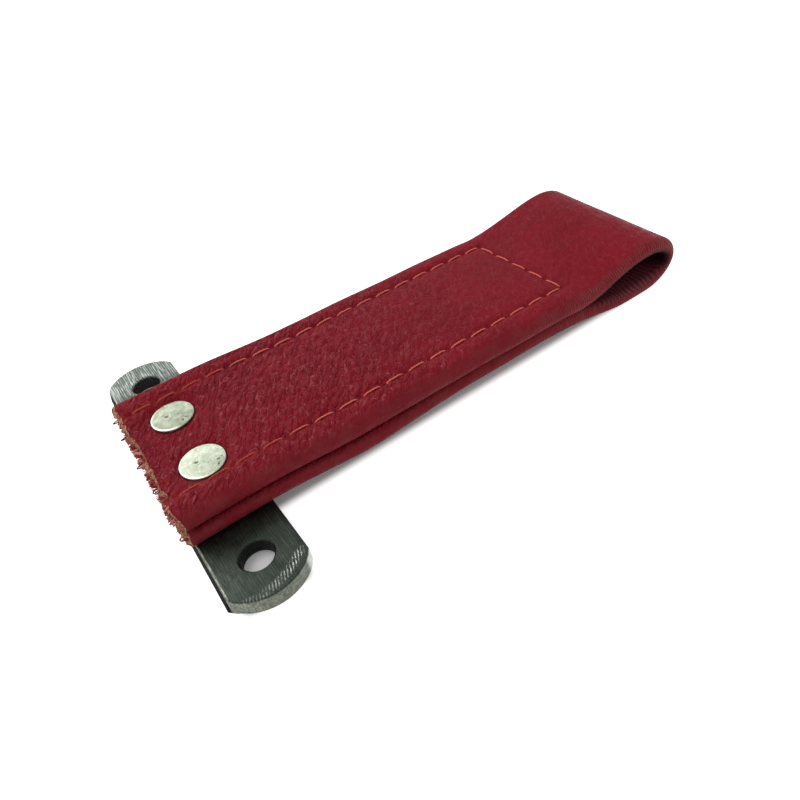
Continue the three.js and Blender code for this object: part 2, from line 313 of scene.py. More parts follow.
# %% [markdown]
# Every new surface below is a grid: rows of points along the piece, columns round its section.
# One function numbers the faces of such a grid, and one puts the arrays into a mesh object.
# The object stays at the origin, unturned, because the place of a piece is in its points.

# %% From arrays to a mesh
def grid_faces(rows, columns):
    """Quads of a grid whose points are numbered row by row and whose last column joins the first."""
    row = np.arange(rows - 1)[:, None] * columns
    column = np.arange(columns)[None, :]
    after = (column + 1) % columns
    corners = [row + column, row + after, row + columns + after, row + columns + column]
    return np.stack(corners, axis=-1).reshape(-1, 4)


def capped_faces(rows, columns):
    """The faces of a closed body: the grid's quads, and one face of many corners at either end."""
    last = (rows - 1) * columns
    caps = [list(range(columns))[::-1], list(range(last, last + columns))]
    return grid_faces(rows, columns).tolist() + caps


def make_piece(name, points_mm, faces, attributes=None, uv_mm=None, wrap_mm=0):
    """A mesh object from points in millimetres and lists of faces, with point attributes and a UV map.

    The UV map holds distances in metres; where a face crosses the wrap, its low corners move one turn on.
    """
    mesh = bpy.data.meshes.new(name)
    mesh.from_pydata((np.asarray(points_mm).reshape(-1, 3) * MM).tolist(), [], faces)
    mesh.shade_smooth()
    for key, values in (attributes or {}).items():
        layer = mesh.attributes.new(key, "FLOAT", "POINT")
        layer.data.foreach_set("value", np.asarray(values, dtype=np.float32).ravel())
    if uv_mm is not None:
        corner_points = np.empty(len(mesh.loops), dtype=np.int32)
        mesh.loops.foreach_get("vertex_index", corner_points)
        corners = np.asarray(uv_mm).reshape(-1, 2)[corner_points].reshape(-1, 4, 2)
        crosses = np.ptp(corners[..., 1], axis=1, keepdims=True) > wrap_mm / 2
        corners[..., 1] += wrap_mm * (crosses & (corners[..., 1] < wrap_mm / 2))
        layer = mesh.uv_layers.new(name="strip")
        layer.data.foreach_set("uv", (corners * MM).astype(np.float32).ravel())
    piece = bpy.data.objects.new(name, mesh)
    bpy.context.collection.objects.link(piece)
    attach(piece, "root")
    print("%s: %d points, %d faces" % (name, len(mesh.vertices), len(mesh.polygons)))
    return piece


def weld(piece):
    """Merges points that share a place, which closes the poles of a turned piece."""
    editor = bmesh.new()
    editor.from_mesh(piece.data)
    bmesh.ops.remove_doubles(editor, verts=editor.verts, dist=1e-7)
    bmesh.ops.recalc_face_normals(editor, faces=editor.faces)
    editor.to_mesh(piece.data)
    editor.free()


print("3 rings of 4 points make a body of %d faces" % len(capped_faces(3, 4)))

# %% [markdown]
# The section of one leg is a flat tube: two flat faces and two rolled edges.
# The walk round it starts in the middle of the inner face, where the leather's own butt seam
# is hidden, and takes small steps on the outer face and the rolls, which the eye sees.

# %% The section of a leg
face_columns = 84
roll_columns = 20
inner_columns = 14


def section_walk():
    """Columns round the section, as share of the flat half width and angle of the outward direction."""
    inner = np.linspace(0, 1, inner_columns + 1)[:-1]
    roll = np.linspace(-math.pi / 2, math.pi / 2, roll_columns + 1)[:-1]
    face = np.linspace(1, -1, face_columns + 1)[:-1]
    down = np.full(inner_columns, -math.pi / 2)
    flat = np.concatenate([inner, np.ones(roll_columns), face, -np.ones(roll_columns), inner - 1])
    angle = np.concatenate([down, roll, np.full(face_columns, math.pi / 2), roll + math.pi, down])
    return flat, angle


def section_points(flat, angle, half, thick):
    """Across is the share of the flat plus the roll's cosine, and lift is the roll's sine."""
    radius = thick / 2
    return flat * (half - radius) + radius * np.cos(angle), radius * np.sin(angle)


flat_walk, angle_walk = section_walk()
section_outline = np.stack(section_points(flat_walk, angle_walk, half_width, leg_thickness), axis=-1)
section_steps = np.linalg.norm(np.diff(section_outline, axis=0, append=section_outline[:1]), axis=1)
around_walk = np.cumsum(section_steps) - section_steps
girth = section_steps.sum()
print("%d columns round a girth of %.1f mm" % (flat_walk.size, girth))

# %% [markdown]
# What makes the strap look sewn is its relief: the seam pulls a groove into the leather, each
# needle leaves a small pit, the margin beyond the seam stays plump, and the rivet heads press
# a dish round themselves. All of it is one function of x and the distance across.

# %% Relief of the sewn faces
stitch_pitch = 4.48
cross_stitches = 5
cross_pitch = 2 * stitch_line / cross_stitches
line_stitches = math.ceil((seam_x - cut_x) / stitch_pitch)
groove_depth = 0.26
groove_reach = 0.8
pit_depth = 0.24
pit_reach = 0.4
margin_plump = 0.16
head_shift = 0.4
dome_rise = 0.22
rim_thickness = 0.55
head_seat = head_top - dome_rise - rim_thickness
press_rise = 0.22
press_slope = 0.5
dish_depth = 0.34
dish_reach = 0.6


def seam_distance(x, across):
    """Distance to the U of stitches: to its two long lines, and to its cross line at the end."""
    to_line = np.hypot(np.abs(np.abs(across) - stitch_line), np.maximum(x - seam_x, 0))
    to_cross = np.hypot(x - seam_x, np.maximum(np.abs(across) - stitch_line, 0))
    return np.minimum(to_line, to_cross)


def pit_distance(x, across):
    """Distance to the nearest needle hole; the holes are one pitch apart along each line."""
    steps = np.clip(np.round((seam_x - x) / stitch_pitch), 0, line_stitches)
    to_line = np.hypot(seam_x - steps * stitch_pitch - x, np.abs(across) - stitch_line)
    cross_steps = np.clip(np.round((stitch_line - across) / cross_pitch), 0, cross_stitches)
    to_cross = np.hypot(seam_x - x, stitch_line - cross_steps * cross_pitch - across)
    return np.minimum(to_line, to_cross)


def rivet_distance(x, across):
    """Distance to the middle of the nearer rivet head."""
    return np.minimum(*(np.hypot(x - head_shift, across + strap_middle - y) for y in rivet_places))


def face_relief(x, across, dished):
    """Minus the groove and the pits, minus the dish on the rivets' side, plus the plump margin."""
    groove = groove_depth * bell(seam_distance(x, across), groove_reach)
    pits = pit_depth * bell(pit_distance(x, across), pit_reach)
    beyond_head = np.maximum(rivet_distance(x, across) - head_radius, 0)
    dish = dished * dish_depth * bell(beyond_head, dish_reach)
    margin = np.clip((np.abs(across) - stitch_line) / stitch_inset, 0, 1)
    plump = margin_plump * np.sin(math.pi * margin) * (1 - ease(x, seam_x, seam_x + nose_length))
    return plump - groove - pits - dish


def press_under_heads(points):
    """Keeps points under a ceiling: a head's seat plus a rise, and a slope times the way out from its rim."""
    for y in rivet_places:
        beyond = np.hypot(points[..., 0] - head_shift, points[..., 1] - y) - head_radius
        ceiling = head_seat + press_rise + press_slope * np.maximum(beyond, 0)
        points[..., 2] = np.minimum(points[..., 2], ceiling)
    return points


print("%d stitches along each side, %.2f mm apart" % (line_stitches, stitch_pitch))

# %% [markdown]
# Where the strip turns round the loop, its inner face is squeezed into ribs and its rolled
# edges crease. Both follow the distance along the strip, bent a little by noise so that no two
# ribs are alike. The swells are larger and very low, and keep the flat faces from looking flat.

# %% Relief of the bends
swell_size = 9.0
swell_height = 0.07
rib_pitch = 1.15
rib_height = 0.13
rib_wander = 1.1
ridge_roundness = 0.7
inner_gain = 1.4
crease_pitch = 0.8
crease_height = 0.03
crease_wander = 1.9
bend_start = 8
wander_along = 6
wander_around = 2.2
patch_along = 3
patch_around = 1.5
patch_mean = 0.65
patch_swing = 0.35


def ridges(line, pitch, wander):
    """Heights from 0 to 1 of ridges across the strip: |sin(pi (s / pitch + wander * noise))|^0.7."""
    s = line["s"][:, None]
    bent = wander * smooth_noise(s / wander_along, around_walk / wander_around, 21)
    return np.abs(np.sin(math.pi * (s / pitch + bent))) ** ridge_roundness


def inside_share(line):
    """1 on the inner face of the open loop, 0 on outer faces and on the sewn legs."""
    inner_face = np.clip(-inner_gain * np.sin(angle_walk), 0, 1)
    return inner_face * ease(line["x"][:, None], seam_x + 1, seam_x + bend_start)


def bend_relief(line):
    """Swells everywhere, ribs inside the loop and creases on its rolls, both of uneven strength."""
    s, x = line["s"][:, None], line["x"][:, None]
    rolled = np.abs(np.cos(angle_walk)) * ease(x, seam_x, seam_x + bend_start)
    ribs = rib_height * ridges(line, rib_pitch, rib_wander) * inside_share(line)
    creases = crease_height * ridges(line, crease_pitch, crease_wander) * rolled
    patchy = patch_mean + patch_swing * smooth_noise(s / patch_along, around_walk / patch_around, 33)
    swell = swell_height * smooth_noise(s / swell_size, around_walk / swell_size, 5)
    return swell + patchy * (ribs + creases)


print("ribs %.2f mm apart, creases %.2f mm apart" % (rib_pitch, crease_pitch))

# %% [markdown]
# So far a point of the strip is known by its distance s along it and its place in the section.
# Placing turns that into x, y and z: a step along the outward direction of the middle line.
# The loop's slight skew, the lower leg's drift and the pinch of the rivets are added here, once
# for every layer, so that the skin, the flesh side and the webbing stay together.

# %% From the strip's own coordinates to its place
def place_strip(line, across, lift, layers):
    """Steps lift along the outward direction; the loop is skewed, the lower leg drifts, the rivets pinch."""
    x, leg = line["x"][:, None], line["leg"][:, None]
    skew = loop_skew * ease(x, seam_x, nose_x)
    px = x + line["out_x"][:, None] * lift + skew * across
    py = strap_middle + across + lower_drift(x) * (leg < 0)
    pz = line["z"][:, None] + line["out_z"][:, None] * lift - layers * pinch(x, across)
    return np.stack(np.broadcast_arrays(px, py, pz), axis=-1)


def leg_layers(leg, outward):
    """How many pinched legs lie under a point: 0 and 1 on the lower leg, 1 and 2 on the upper one."""
    inside = outward < -0.2
    return np.where(leg < 0, np.where(inside, 1, 0), np.where(inside, 1, 2))


def row_thickness(line):
    """Thickness of each row: of its leg, or of the loop round the nose."""
    leg = line["leg"]
    return np.where(on_leg(leg), thickness(line["x"], np.sign(leg)), loop_thickness)[:, None]


def strip_skin(line, inset, with_relief):
    """The strip's surface at a depth below its skin: section, then relief, then place."""
    x, leg = line["x"][:, None], line["leg"][:, None]
    outward, sideways = np.sin(angle_walk), np.cos(angle_walk)
    across, lift = section_points(flat_walk, angle_walk, half_width - inset, row_thickness(line) - 2 * inset)
    if with_relief:
        sewn = face_relief(x, across, leg > 0) * np.clip(outward, 0, 1) ** 2 * on_leg(leg)
        relief = sewn + bend_relief(line)
        across, lift = across + relief * sideways, lift + relief * outward
    return place_strip(line, across, lift, leg_layers(leg, outward))


print("the rivets pinch each leg by up to %.2f mm" % pinch(0, 0))

# %% [markdown]
# The cover is one closed body. Its outer skin runs from cut end to cut end, the flesh side runs
# back inside it, and a few short rings close each cut edge. The cut was made by hand, so the
# edge wanders, and it is slanted: the flesh side sticks out a little further than the skin.

# %% Leather cover: the wandering cut
cut_wander = 0.32
cut_slant = 0.85
cut_fade = 1.8
edge_shares = (0.12, 0.5, 0.88)
edge_roughness = 0.12
no_row = np.zeros_like(around_walk)


def edge_noise(wave, seed, row=0):
    """Noise along the cut edge, with waves of the given length in millimetres."""
    return smooth_noise(around_walk / wave, no_row + row, seed)


def cut_shift(seed, depth_share):
    """How far a ring of the cut end stands out: wander, plus slant with depth, plus roughness."""
    wander = cut_wander * edge_noise(3.1, seed)
    wander += 0.5 * cut_wander * edge_noise(0.9, seed + 1)
    slant = cut_slant * (0.5 + 0.6 * edge_noise(2.3, seed + 2))
    rough = edge_roughness * edge_noise(0.45, seed + 3)
    return wander + depth_share * (slant + rough)


def shift_cut(points, seed, depth_share, at_end):
    """Moves the rows near a cut end by its shift, fading over a few millimetres into the strap."""
    ends = points[-1] if at_end else points[0]
    away = np.linalg.norm(points - ends[None], axis=2)
    points[..., 0] -= cut_shift(seed, depth_share) * np.exp(-away / cut_fade)
    return points


def cut_rings(outer_ring, inner_ring, seed):
    """Rings across the thickness of a cut edge, from just under the skin to just above the flesh side."""
    rings = []
    for share in edge_shares:
        ring = blend(outer_ring, inner_ring, share)
        ring[:, 0] -= edge_roughness * edge_noise(0.4, seed, 7 * share)
        rings.append(ring)
    return rings


print("the cut wanders by %.1f mm and slants by %.2f mm" % (cut_wander, cut_slant))

# %% [markdown]
# Skin, cut edge, flesh side and the other cut edge follow one another like the rows of one
# sheet that closes on itself, so a single grid makes a solid wall without any seam to sew.
# The alternative, Solidify, would give the same wall but not the slanted and torn edges.

# %% Leather cover: skin, flesh side and cut edges as one closed grid
skin_steps = (0.40, 0.27, 0.75)
hidden_steps = (3.0, 1.6, 4.0)
cover_line = stations(cut_x, *skin_steps)
flesh_line = stations(cut_x, *hidden_steps)
skin_points = press_under_heads(strip_skin(cover_line, 0, True))
skin_points[..., 2] = np.maximum(skin_points[..., 2], 0)
flesh_points = strip_skin(flesh_line, leather_thickness, False)
for seed, at_end in ((61, False), (71, True)):
    skin_points = shift_cut(skin_points, seed, 0, at_end)
    flesh_points = shift_cut(flesh_points, seed, 1, at_end)
end_rings = cut_rings(skin_points[-1], flesh_points[-1], 83)
start_rings = cut_rings(skin_points[0], flesh_points[0], 89)
cover_rings = np.concatenate([skin_points, end_rings, flesh_points[::-1], start_rings[::-1]])
ring_count, column_count = cover_rings.shape[:2]
cover_faces = grid_faces(ring_count + 1, column_count) % (ring_count * column_count)
hidden_rows = ring_count - skin_points.shape[0]
cover_s = np.concatenate([cover_line["s"], strip_length + np.arange(1, hidden_rows + 1)])
cover_uv = np.stack(np.broadcast_arrays(cover_s[:, None], around_walk[None, :]), axis=-1)
print("%d rings of %d points" % (ring_count, column_count))

# %% [markdown]
# A material can't know where a seam or a fold lies, so the mesh tells it: each point carries
# numbers from 0 to 1, such as how rolled, how bent or how near a needle hole it is. They are
# worked out from the same distances as the relief, so colour and shape always agree.

# %% Leather cover: attributes for the finish
hole_reach = 0.45
smear_reach = 0.5
smear_end = 14
grain_fade = 22
grain_end = seam_x - 4
bend_reach = 22
smooth_loop = 0.8
smooth_shoulder = 0.8
shoulder_gain = 1.3


def on_skin(values):
    """A skin attribute for the whole cover: its values on the skin, 0 on the cut edges and the flesh side."""
    values = np.broadcast_to(values, skin_points.shape[:2])
    return np.concatenate([values, np.zeros((hidden_rows, column_count))])


skin_x = cover_line["x"][:, None]
skin_across = skin_points[..., 1] - strap_middle
skin_leg = cover_line["leg"][:, None]
outer_face = np.sin(angle_walk)[None, :] > 0.5
skin_shoulder = np.clip(np.abs(np.cos(angle_walk))[None, :] * shoulder_gain, 0, 1)
skin_grain = (1 - smooth_loop * ease(skin_x, grain_fade, grain_end)) * (1 - smooth_shoulder * skin_shoulder)
# Where painted shade darkens the needle holes.
needle_hole_shade = bell(pit_distance(skin_x, skin_across), hole_reach) * outer_face
seam_smear = bell(seam_distance(skin_x, skin_across), smear_reach) * outer_face
seam_smear = seam_smear * (skin_leg > 0) * (1 - ease(skin_x, head_radius, smear_end))
sewn_cover = make_piece(
    "sewn_leather_cover",
    cover_rings,
    cover_faces.tolist(),
    {
        "grain": on_skin(skin_grain),
        "shoulder": on_skin(skin_shoulder),
        "bend": on_skin(ease(skin_x, seam_x - bend_reach, seam_x + bend_start)),
        "inside": on_skin(inside_share(cover_line)),
        "rib": on_skin(ridges(cover_line, rib_pitch, rib_wander)),
        "hole": on_skin(needle_hole_shade * on_leg(skin_leg)),
        "smear": on_skin(seam_smear),
        "flesh": 1 - on_skin(1.0),
    },
    cover_uv,
    girth,
)
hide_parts("leather_cover")

# %% [markdown]
# Thread is two plies twisted together, so its section isn't round: it has two lobes that turn
# along it. Each stitch rises out of one needle hole and dives into the next, and it lies at a
# slight slant, as lockstitch does. One function carries such a section along many paths at once.

# %% Tubes along many paths
def tubes(paths, radii, sides, lobes=0.0, twist_mm=1.0):
    """Points and faces of tubes along paths of shape (number, points, 3), closed by flat ends.

    The radius at angle a and distance s is the given radius times 1 + lobes * cos(2 (a - 2 pi s / twist)).
    The angle is measured from a side direction that is level and square to the path's chord.
    """
    number, count = paths.shape[:2]
    tangent = np.gradient(paths, axis=1)
    tangent /= np.linalg.norm(tangent, axis=2, keepdims=True)
    level = np.cross(paths[:, -1] - paths[:, 0], [0.0, 0.0, 1.0])[:, None]
    side = level - np.sum(level * tangent, axis=2, keepdims=True) * tangent
    side /= np.linalg.norm(side, axis=2, keepdims=True)
    up = np.cross(side, tangent)
    steps = np.linalg.norm(np.diff(paths, axis=1), axis=2)
    s = np.concatenate([np.zeros((number, 1)), np.cumsum(steps, axis=1)], axis=1)[..., None]
    angle = 2 * math.pi * np.arange(sides) / sides
    radius = radii[..., None] * (1 + lobes * np.cos(2 * (angle - 2 * math.pi * s / twist_mm)))
    ring = side[:, :, None] * np.cos(angle)[:, None] + up[:, :, None] * np.sin(angle)[:, None]
    points = paths[:, :, None] + radius[..., None] * ring
    start = (np.arange(number) * count * sides)[:, None, None]
    walls = (grid_faces(count, sides)[None] + start).reshape(-1, 4)[:, ::-1]
    first = np.arange(sides)[None] + start[:, 0]
    last = first + (count - 1) * sides
    return points, walls.tolist() + first.tolist() + last[:, ::-1].tolist()


print("a tube of 3 points and 4 sides has %d faces" % len(tubes(np.eye(3)[None], np.ones((1, 3)), 4)[1]))

# %% [markdown]
# The stitches run down the far side, across before the loop, and back up the near side, as
# one machine seam does. Their needle holes come first: a row of places on each of the three
# lines, where every place is the end of one stitch and the start of the next.

# %% The U of stitches: needle holes
def stitch_ends():
    """Places (x, across) of each stitch's two needle holes: far line, cross line, near line back."""
    back = seam_x - np.arange(line_stitches, -1, -1) * stitch_pitch
    far_line = np.stack([back, np.full_like(back, stitch_line)], axis=1)
    cross = stitch_line - np.arange(cross_stitches + 1) * cross_pitch
    cross_line = np.stack([np.full_like(cross, seam_x), cross], axis=1)
    lines = (far_line, cross_line, far_line[::-1] * [1, -1])
    starts = np.concatenate([line[:-1] for line in lines])
    ends = np.concatenate([line[1:] for line in lines])
    whole = np.minimum(starts[:, 0], ends[:, 0]) > cut_x
    return starts[whole], ends[whole]


print("%d stitches on each face" % len(stitch_ends()[0]))

# %% [markdown]
# Each stitch is then a path over the face between its two holes, with a slant of its own.
# A face is given as a function, so the same code sews the row on top and the row underneath.
# Near the plate the strap is pressed, so there the thread lies deeper.

# %% The U of stitches: paths
stitch_points = 26
stitch_cover = 0.82
stitch_slant = 0.22
stitch_dive = 0.45
stitch_stand = -0.08


def stitch_paths(face_place, out, pressed):
    """Each stitch follows its face from hole to hole; its height over the face is stand - dive * |2t-1|^4."""
    starts, ends = stitch_ends()
    t = np.linspace(0, 1, stitch_points)
    share = 0.5 + stitch_cover * (t - 0.5)
    flat = starts[:, None] + (ends - starts)[:, None] * share[:, None]
    run = (ends - starts) / np.linalg.norm(ends - starts, axis=1, keepdims=True)
    beside = np.stack([-run[:, 1], run[:, 0]], axis=1)
    jitter = np.random.default_rng(7).uniform(0.6, 1.3, (len(starts), 1, 1))
    flat = flat + beside[:, None] * (stitch_slant * (t - 0.5))[:, None] * jitter
    x, across = flat[..., 0], flat[..., 1]
    stand = blend(pressed, stitch_stand, ease(x, plate_edge, plate_edge + 2 * stitch_pitch))
    height = stand - stitch_dive * np.abs(2 * t - 1) ** 4
    y, z = face_place(x, across)
    return np.stack([x, y, z + out * height], axis=-1)


def top_face(x, across):
    """Where the sewn top face lies: y, and middle height plus half a thickness less two pinches."""
    return strap_middle + across, upper_middle(x) + thickness(x, 1) / 2 - 2 * pinch(x, across)


def bottom_face(x, across):
    """Side position and height of the underside, which drifts with the lower leg."""
    return strap_middle + across + lower_drift(x), underside(x)


print("each stitch covers %.0f%% of the way between its holes" % (100 * stitch_cover))

# %% [markdown]
# Now the thread is run along the paths. It gets thinner only where it dives into a hole.
# The stitches of a face are one piece, because one thread makes them all.

# %% The U of stitches: thread
thread_sides = 10
stitch_radius = 0.145
ply_lobes = 0.22
ply_twist = 1.1
pressed_stand = -0.16
seated_stand = -0.38


def make_stitches(name, node, face_place, out, pressed):
    """One piece for all stitches of a face, with how far each lies in the pressed stretch as an attribute."""
    paths = stitch_paths(face_place, out, pressed)
    taper = 1 - 0.5 * np.abs(np.linspace(-1, 1, stitch_points)) ** 8
    radii = stitch_radius * np.broadcast_to(taper, paths.shape[:2])
    points, faces = tubes(paths, radii, thread_sides, ply_lobes, ply_twist)
    near_plate = 1 - ease(points[..., 0], plate_edge, plate_edge + 3 * stitch_pitch)
    piece = make_piece(name, points, faces, {"pressed": near_plate})
    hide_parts(node)
    return piece


top_stitches = make_stitches("top_stitches", "top_thread", top_face, 1, pressed_stand)
bottom_stitches = make_stitches("bottom_stitches", "bottom_thread", bottom_face, -1, seated_stand)

# %% [markdown]
# Inside the leather lies a flat woven webbing. Only its cut end shows: yarns as thick as string,
# and a beard of single fibres that the knife pulled out. The body follows the same strip, just
# inside the leather, and the yarns and fibres are tubes that start inside it.

# %% Core webbing: the body
core_clearance = 0.25
core_inset = leather_thickness + core_clearance
core_overhang = 0.5
core_line = stations(cut_x - core_overhang, *hidden_steps)
core_rings = strip_skin(core_line, core_inset, False)
core_count = core_rings.shape[0] * column_count
core_faces = capped_faces(*core_rings.shape[:2])
print("core body: %d points" % core_count)

# %% [markdown]
# Blender's hair could make the fray, but hair isn't a mesh and wouldn't be exported. Tubes are,
# and a few dozen faces are enough for each. Yarns and fibres start well inside the body, fall
# out of the cut by uneven lengths, and lean and sway as they go.

# %% Core webbing: paths out of the cut
root_depth = 1.2
core_half = half_width - core_inset - 0.4
cut_rng = np.random.default_rng(12)


def cut_starts(across, depth):
    """Start points inside the cut end, on either leg, at the given places across and depths in the core."""
    leg = cut_rng.choice([-1, 1], across.size)
    middle = np.where(leg > 0, upper_middle(cut_x), lower_middle(cut_x))
    pinched = np.where(leg > 0, 1.5, 0.5) * pinch(cut_x, across)
    x = np.full(across.size, cut_x + root_depth)
    return np.stack([x, strap_middle + across, middle - pinched + depth], axis=1)


def frayed_paths(start, reach, count, spread, curl):
    """Paths out of the cut: x falls evenly by reach, y and z lean as t squared and sway as t sin(4t)."""
    t = np.linspace(0, 1, count)[None, None, :]
    lean, swing = (cut_rng.normal(0, size, (len(start), 2, 1)) for size in (spread, curl))
    phase = cut_rng.uniform(0, 2 * math.pi, (len(start), 2, 1))
    sway = lean * t ** 2 + swing * t * (np.sin(4 * t + phase) - np.sin(phase))
    x = start[:, :1] - reach[:, None] * t[0]
    return np.stack([x, start[:, 1:2] + sway[:, 0], start[:, 2:3] + sway[:, 1]], axis=-1)


print("paths start %.1f mm inside the cut, up to %.1f mm off the middle" % (root_depth, core_half))

# %% [markdown]
# The yarns are the webbing's own threads, in four loose rows, and two-lobed like the sewing
# thread. The fibres are what is left of broken yarns: many, thin and curly. Squaring a random
# number makes most fibres short and a few of them long.

# %% Core webbing: yarns and fibres
yarn_rows = 4
yarn_pitch = 0.45
yarn_scatter = 0.15
yarn_radius = 0.27
yarn_reach = 1.05
yarn_points = 12
yarn_sides = 8
yarn_lean = 0.25
yarn_curl = 0.3
yarn_lobes = 0.25
yarn_twist = 0.8
fibre_count = 700
fibre_radius = 0.06
fibre_reach = 1.5
fibre_points = 8
fibre_sides = 4
fibre_lean = 0.4
fibre_curl = 0.6

yarn_across = np.tile(np.arange(-core_half, core_half, yarn_pitch), yarn_rows)
yarn_across = yarn_across + cut_rng.normal(0, yarn_scatter, yarn_across.size)
yarn_count = yarn_across.size
yarn_starts = cut_starts(yarn_across, cut_rng.uniform(-0.45, 0.45, yarn_count))
yarn_lengths = root_depth + yarn_reach * cut_rng.uniform(0.5, 1.35, yarn_count)
yarn_taper = 1 - 0.35 * np.linspace(0, 1, yarn_points) ** 3
yarn_radii = yarn_radius * cut_rng.uniform(0.55, 1.0, (yarn_count, 1)) * yarn_taper
yarn_paths = frayed_paths(yarn_starts, yarn_lengths, yarn_points, yarn_lean, yarn_curl)
yarns = tubes(yarn_paths, yarn_radii, yarn_sides, yarn_lobes, yarn_twist)

fibre_across = cut_rng.uniform(-core_half - 0.5, core_half + 0.5, fibre_count)
fibre_starts = cut_starts(fibre_across, cut_rng.uniform(-0.9, 0.9, fibre_count))
fibre_lengths = root_depth + fibre_reach * cut_rng.uniform(0.25, 1.0, fibre_count) ** 2
fibre_radii = np.tile(fibre_radius * (1 - 0.5 * np.linspace(0, 1, fibre_points)), (fibre_count, 1))
fibre_paths = frayed_paths(fibre_starts, fibre_lengths, fibre_points, fibre_lean, fibre_curl)
fibres = tubes(fibre_paths, fibre_radii, fibre_sides)
print("%d yarns and %d fibres" % (yarn_count, fibre_count))

# %% [markdown]
# Body, yarns and fibres are one piece, because they are one thing on the real object. Joining
# them means counting the faces of each part on from the points of the parts before it.
# A number per yarn and per fibre, its tone, lets the finish dye them unevenly.

# %% Core webbing: one piece
body_tone = 0.1


def joined(parts):
    """Several (points, faces) pairs as one, each part's faces counted on from the points before it."""
    points, faces, offset = [], [], 0
    for part_points, part_faces in parts:
        flat = np.asarray(part_points).reshape(-1, 3)
        points.append(flat)
        faces += [[corner + offset for corner in face] for face in part_faces]
        offset += len(flat)
    return np.concatenate(points), faces


webbing_points, webbing_faces = joined([(core_rings, core_faces), yarns, fibres])
frayed_webbing = make_piece(
    "frayed_core_webbing",
    webbing_points,
    webbing_faces,
    {"tone": np.concatenate([
        np.full(core_count, body_tone),
        np.repeat(cut_rng.uniform(0, 1, yarn_count), yarn_points * yarn_sides),
        np.repeat(cut_rng.uniform(0, 1, fibre_count), fibre_points * fibre_sides),
    ])},
)
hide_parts("core_webbing")

# %% [markdown]
# A few longer threads have worked loose from the cut. Each is one row of a small table: where it
# comes out, how far it reaches, and how much it sways and drops before its tip turns back.
# Random threads would do as well, but a table puts them where the photograph shows them.

# %% Loose threads
loose_table = np.array([
    [14.0, 7.9, 0.9, 0.5, -0.8],
    [13.6, 7.6, 1.0, -0.7, 0.3],
    [12.0, 7.0, 1.8, 0.5, -0.2],
    [6.8, 7.0, 1.9, 0.7, 0.1],
    [-3.0, 7.9, 1.7, 1.2, 0.1],
    [-7.7, 7.0, 1.4, 0.6, 1.9],
])
loose_points = 22
loose_sides = 6
loose_radius = 0.1


def loose_paths(table):
    """x goes out as sin(0.8 pi t), which turns back near the tip; y sways and z drops as t squared."""
    t = np.linspace(0, 1, loose_points)
    y, z, reach, sway, drop = (column[:, None] for column in table.T)
    x = cut_x + root_depth - (root_depth + reach) * np.sin(0.8 * math.pi * t)
    return np.stack([x, y + sway * t ** 2, z - drop * t ** 2], axis=-1)


loose_radii = np.full((len(loose_table), loose_points), loose_radius)
loose_threads = make_piece("loose_threads", *tubes(loose_paths(loose_table), loose_radii, loose_sides))

# %% [markdown]
# A rivet is turned: a flat head with a soft rim, a shank through plate and strap, and a tail
# that is set into the plate's underside. Its face isn't perfect. The setting tool left a small
# dimple, the rim is scuffed, and the plating is a little uneven, so the face height is a
# function of both radius and angle and not only of the radius.

# %% Rivets: the face of a head
dimple_x = -0.85
dimple_y = 0.15
dimple_depth = 0.11
dimple_spread = 0.1
dent_height = 0.022
scratch_height = 0.01
scuff_depth = 0.05


def head_face(x, y, seed):
    """Height of the head's face over its crown: the dome, an off-centre dimple, dents and a scuffed rim."""
    radius = np.hypot(x, y) / head_radius
    dome = -dome_rise * radius ** 2
    dimple = -dimple_depth * np.exp(-(((x - dimple_x) ** 2 + (y - dimple_y) ** 2) / dimple_spread))
    dents = dent_height * smooth_noise(x / 0.9 + 20, y / 0.9 + 20, seed)
    dents += scratch_height * smooth_noise(x / 0.4 + 40, y / 0.4 + 40, seed + 1)
    angle = np.arctan2(y, x)
    toward_scuff = bell(angle + 0.7, 0.75) * ease(radius, 0.55, 0.95)
    scuff = -scuff_depth * toward_scuff * np.clip(smooth_noise(angle * 9 + 30, radius * 2, seed + 2), 0, 1)
    return dome + dimple + dents + scuff


print("the head's dome rises %.2f mm over its rim" % dome_rise)

# %% [markdown]
# The rest of the rivet is the same all round, so a list of radii and heights describes it, like
# the drawing on a lathe. The rings of the face and of that list make one closed body. Only the
# head moves a little along the strap, as the setting tool pushed it.

# %% Rivets: turned bodies
head_rings = 30
head_columns = 96
face_spacing = 0.9
rim_steps = 6
rim_radius = 0.16
shank_radius = 1.6
tail_radius = 2.7
tail_depth = 1.2


def turned(profile, columns):
    """Rings of a turned body from (radius, height) pairs: x and y are radius times cosine and sine."""
    turn = 2 * math.pi * np.arange(columns) / columns
    rings = [(r * np.cos(turn), r * np.sin(turn), z + 0 * turn) for r, z in profile]
    return np.stack(rings).transpose(0, 2, 1)


def make_rivet(name, node, y_place, seed):
    """Head face as rings of growing radius, then the rolled rim, the shank and the tail: one closed body."""
    face_radius = (head_radius - rim_radius) * np.linspace(0, 1, head_rings) ** face_spacing
    face = turned([(radius, 0) for radius in face_radius], head_columns)
    face[..., 2] = head_top + head_face(face[..., 0], face[..., 1], seed)
    edge = face[-1, :, 2]
    bend = np.linspace(0, math.pi / 2, rim_steps)[1:]
    inward = rim_radius * (1 - np.sin(bend))
    down = rim_radius * (1 - np.cos(bend))
    rim = [(head_radius - i, edge - d) for i, d in zip(inward, down)]
    rest = [(head_radius, head_seat + 0.08), (head_radius - 0.1, head_seat), (shank_radius, head_seat)]
    rest += [(shank_radius, tail_depth), (tail_radius, 0), (0, 0)]
    points = np.concatenate([face, turned(rim + rest, head_columns)])
    points[..., 0] += head_shift * (points[..., 2] > head_seat - 0.01)
    points[..., 1] += y_place
    piece = make_piece(name, points, grid_faces(*points.shape[:2]).tolist())
    weld(piece)
    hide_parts(node)
    return piece


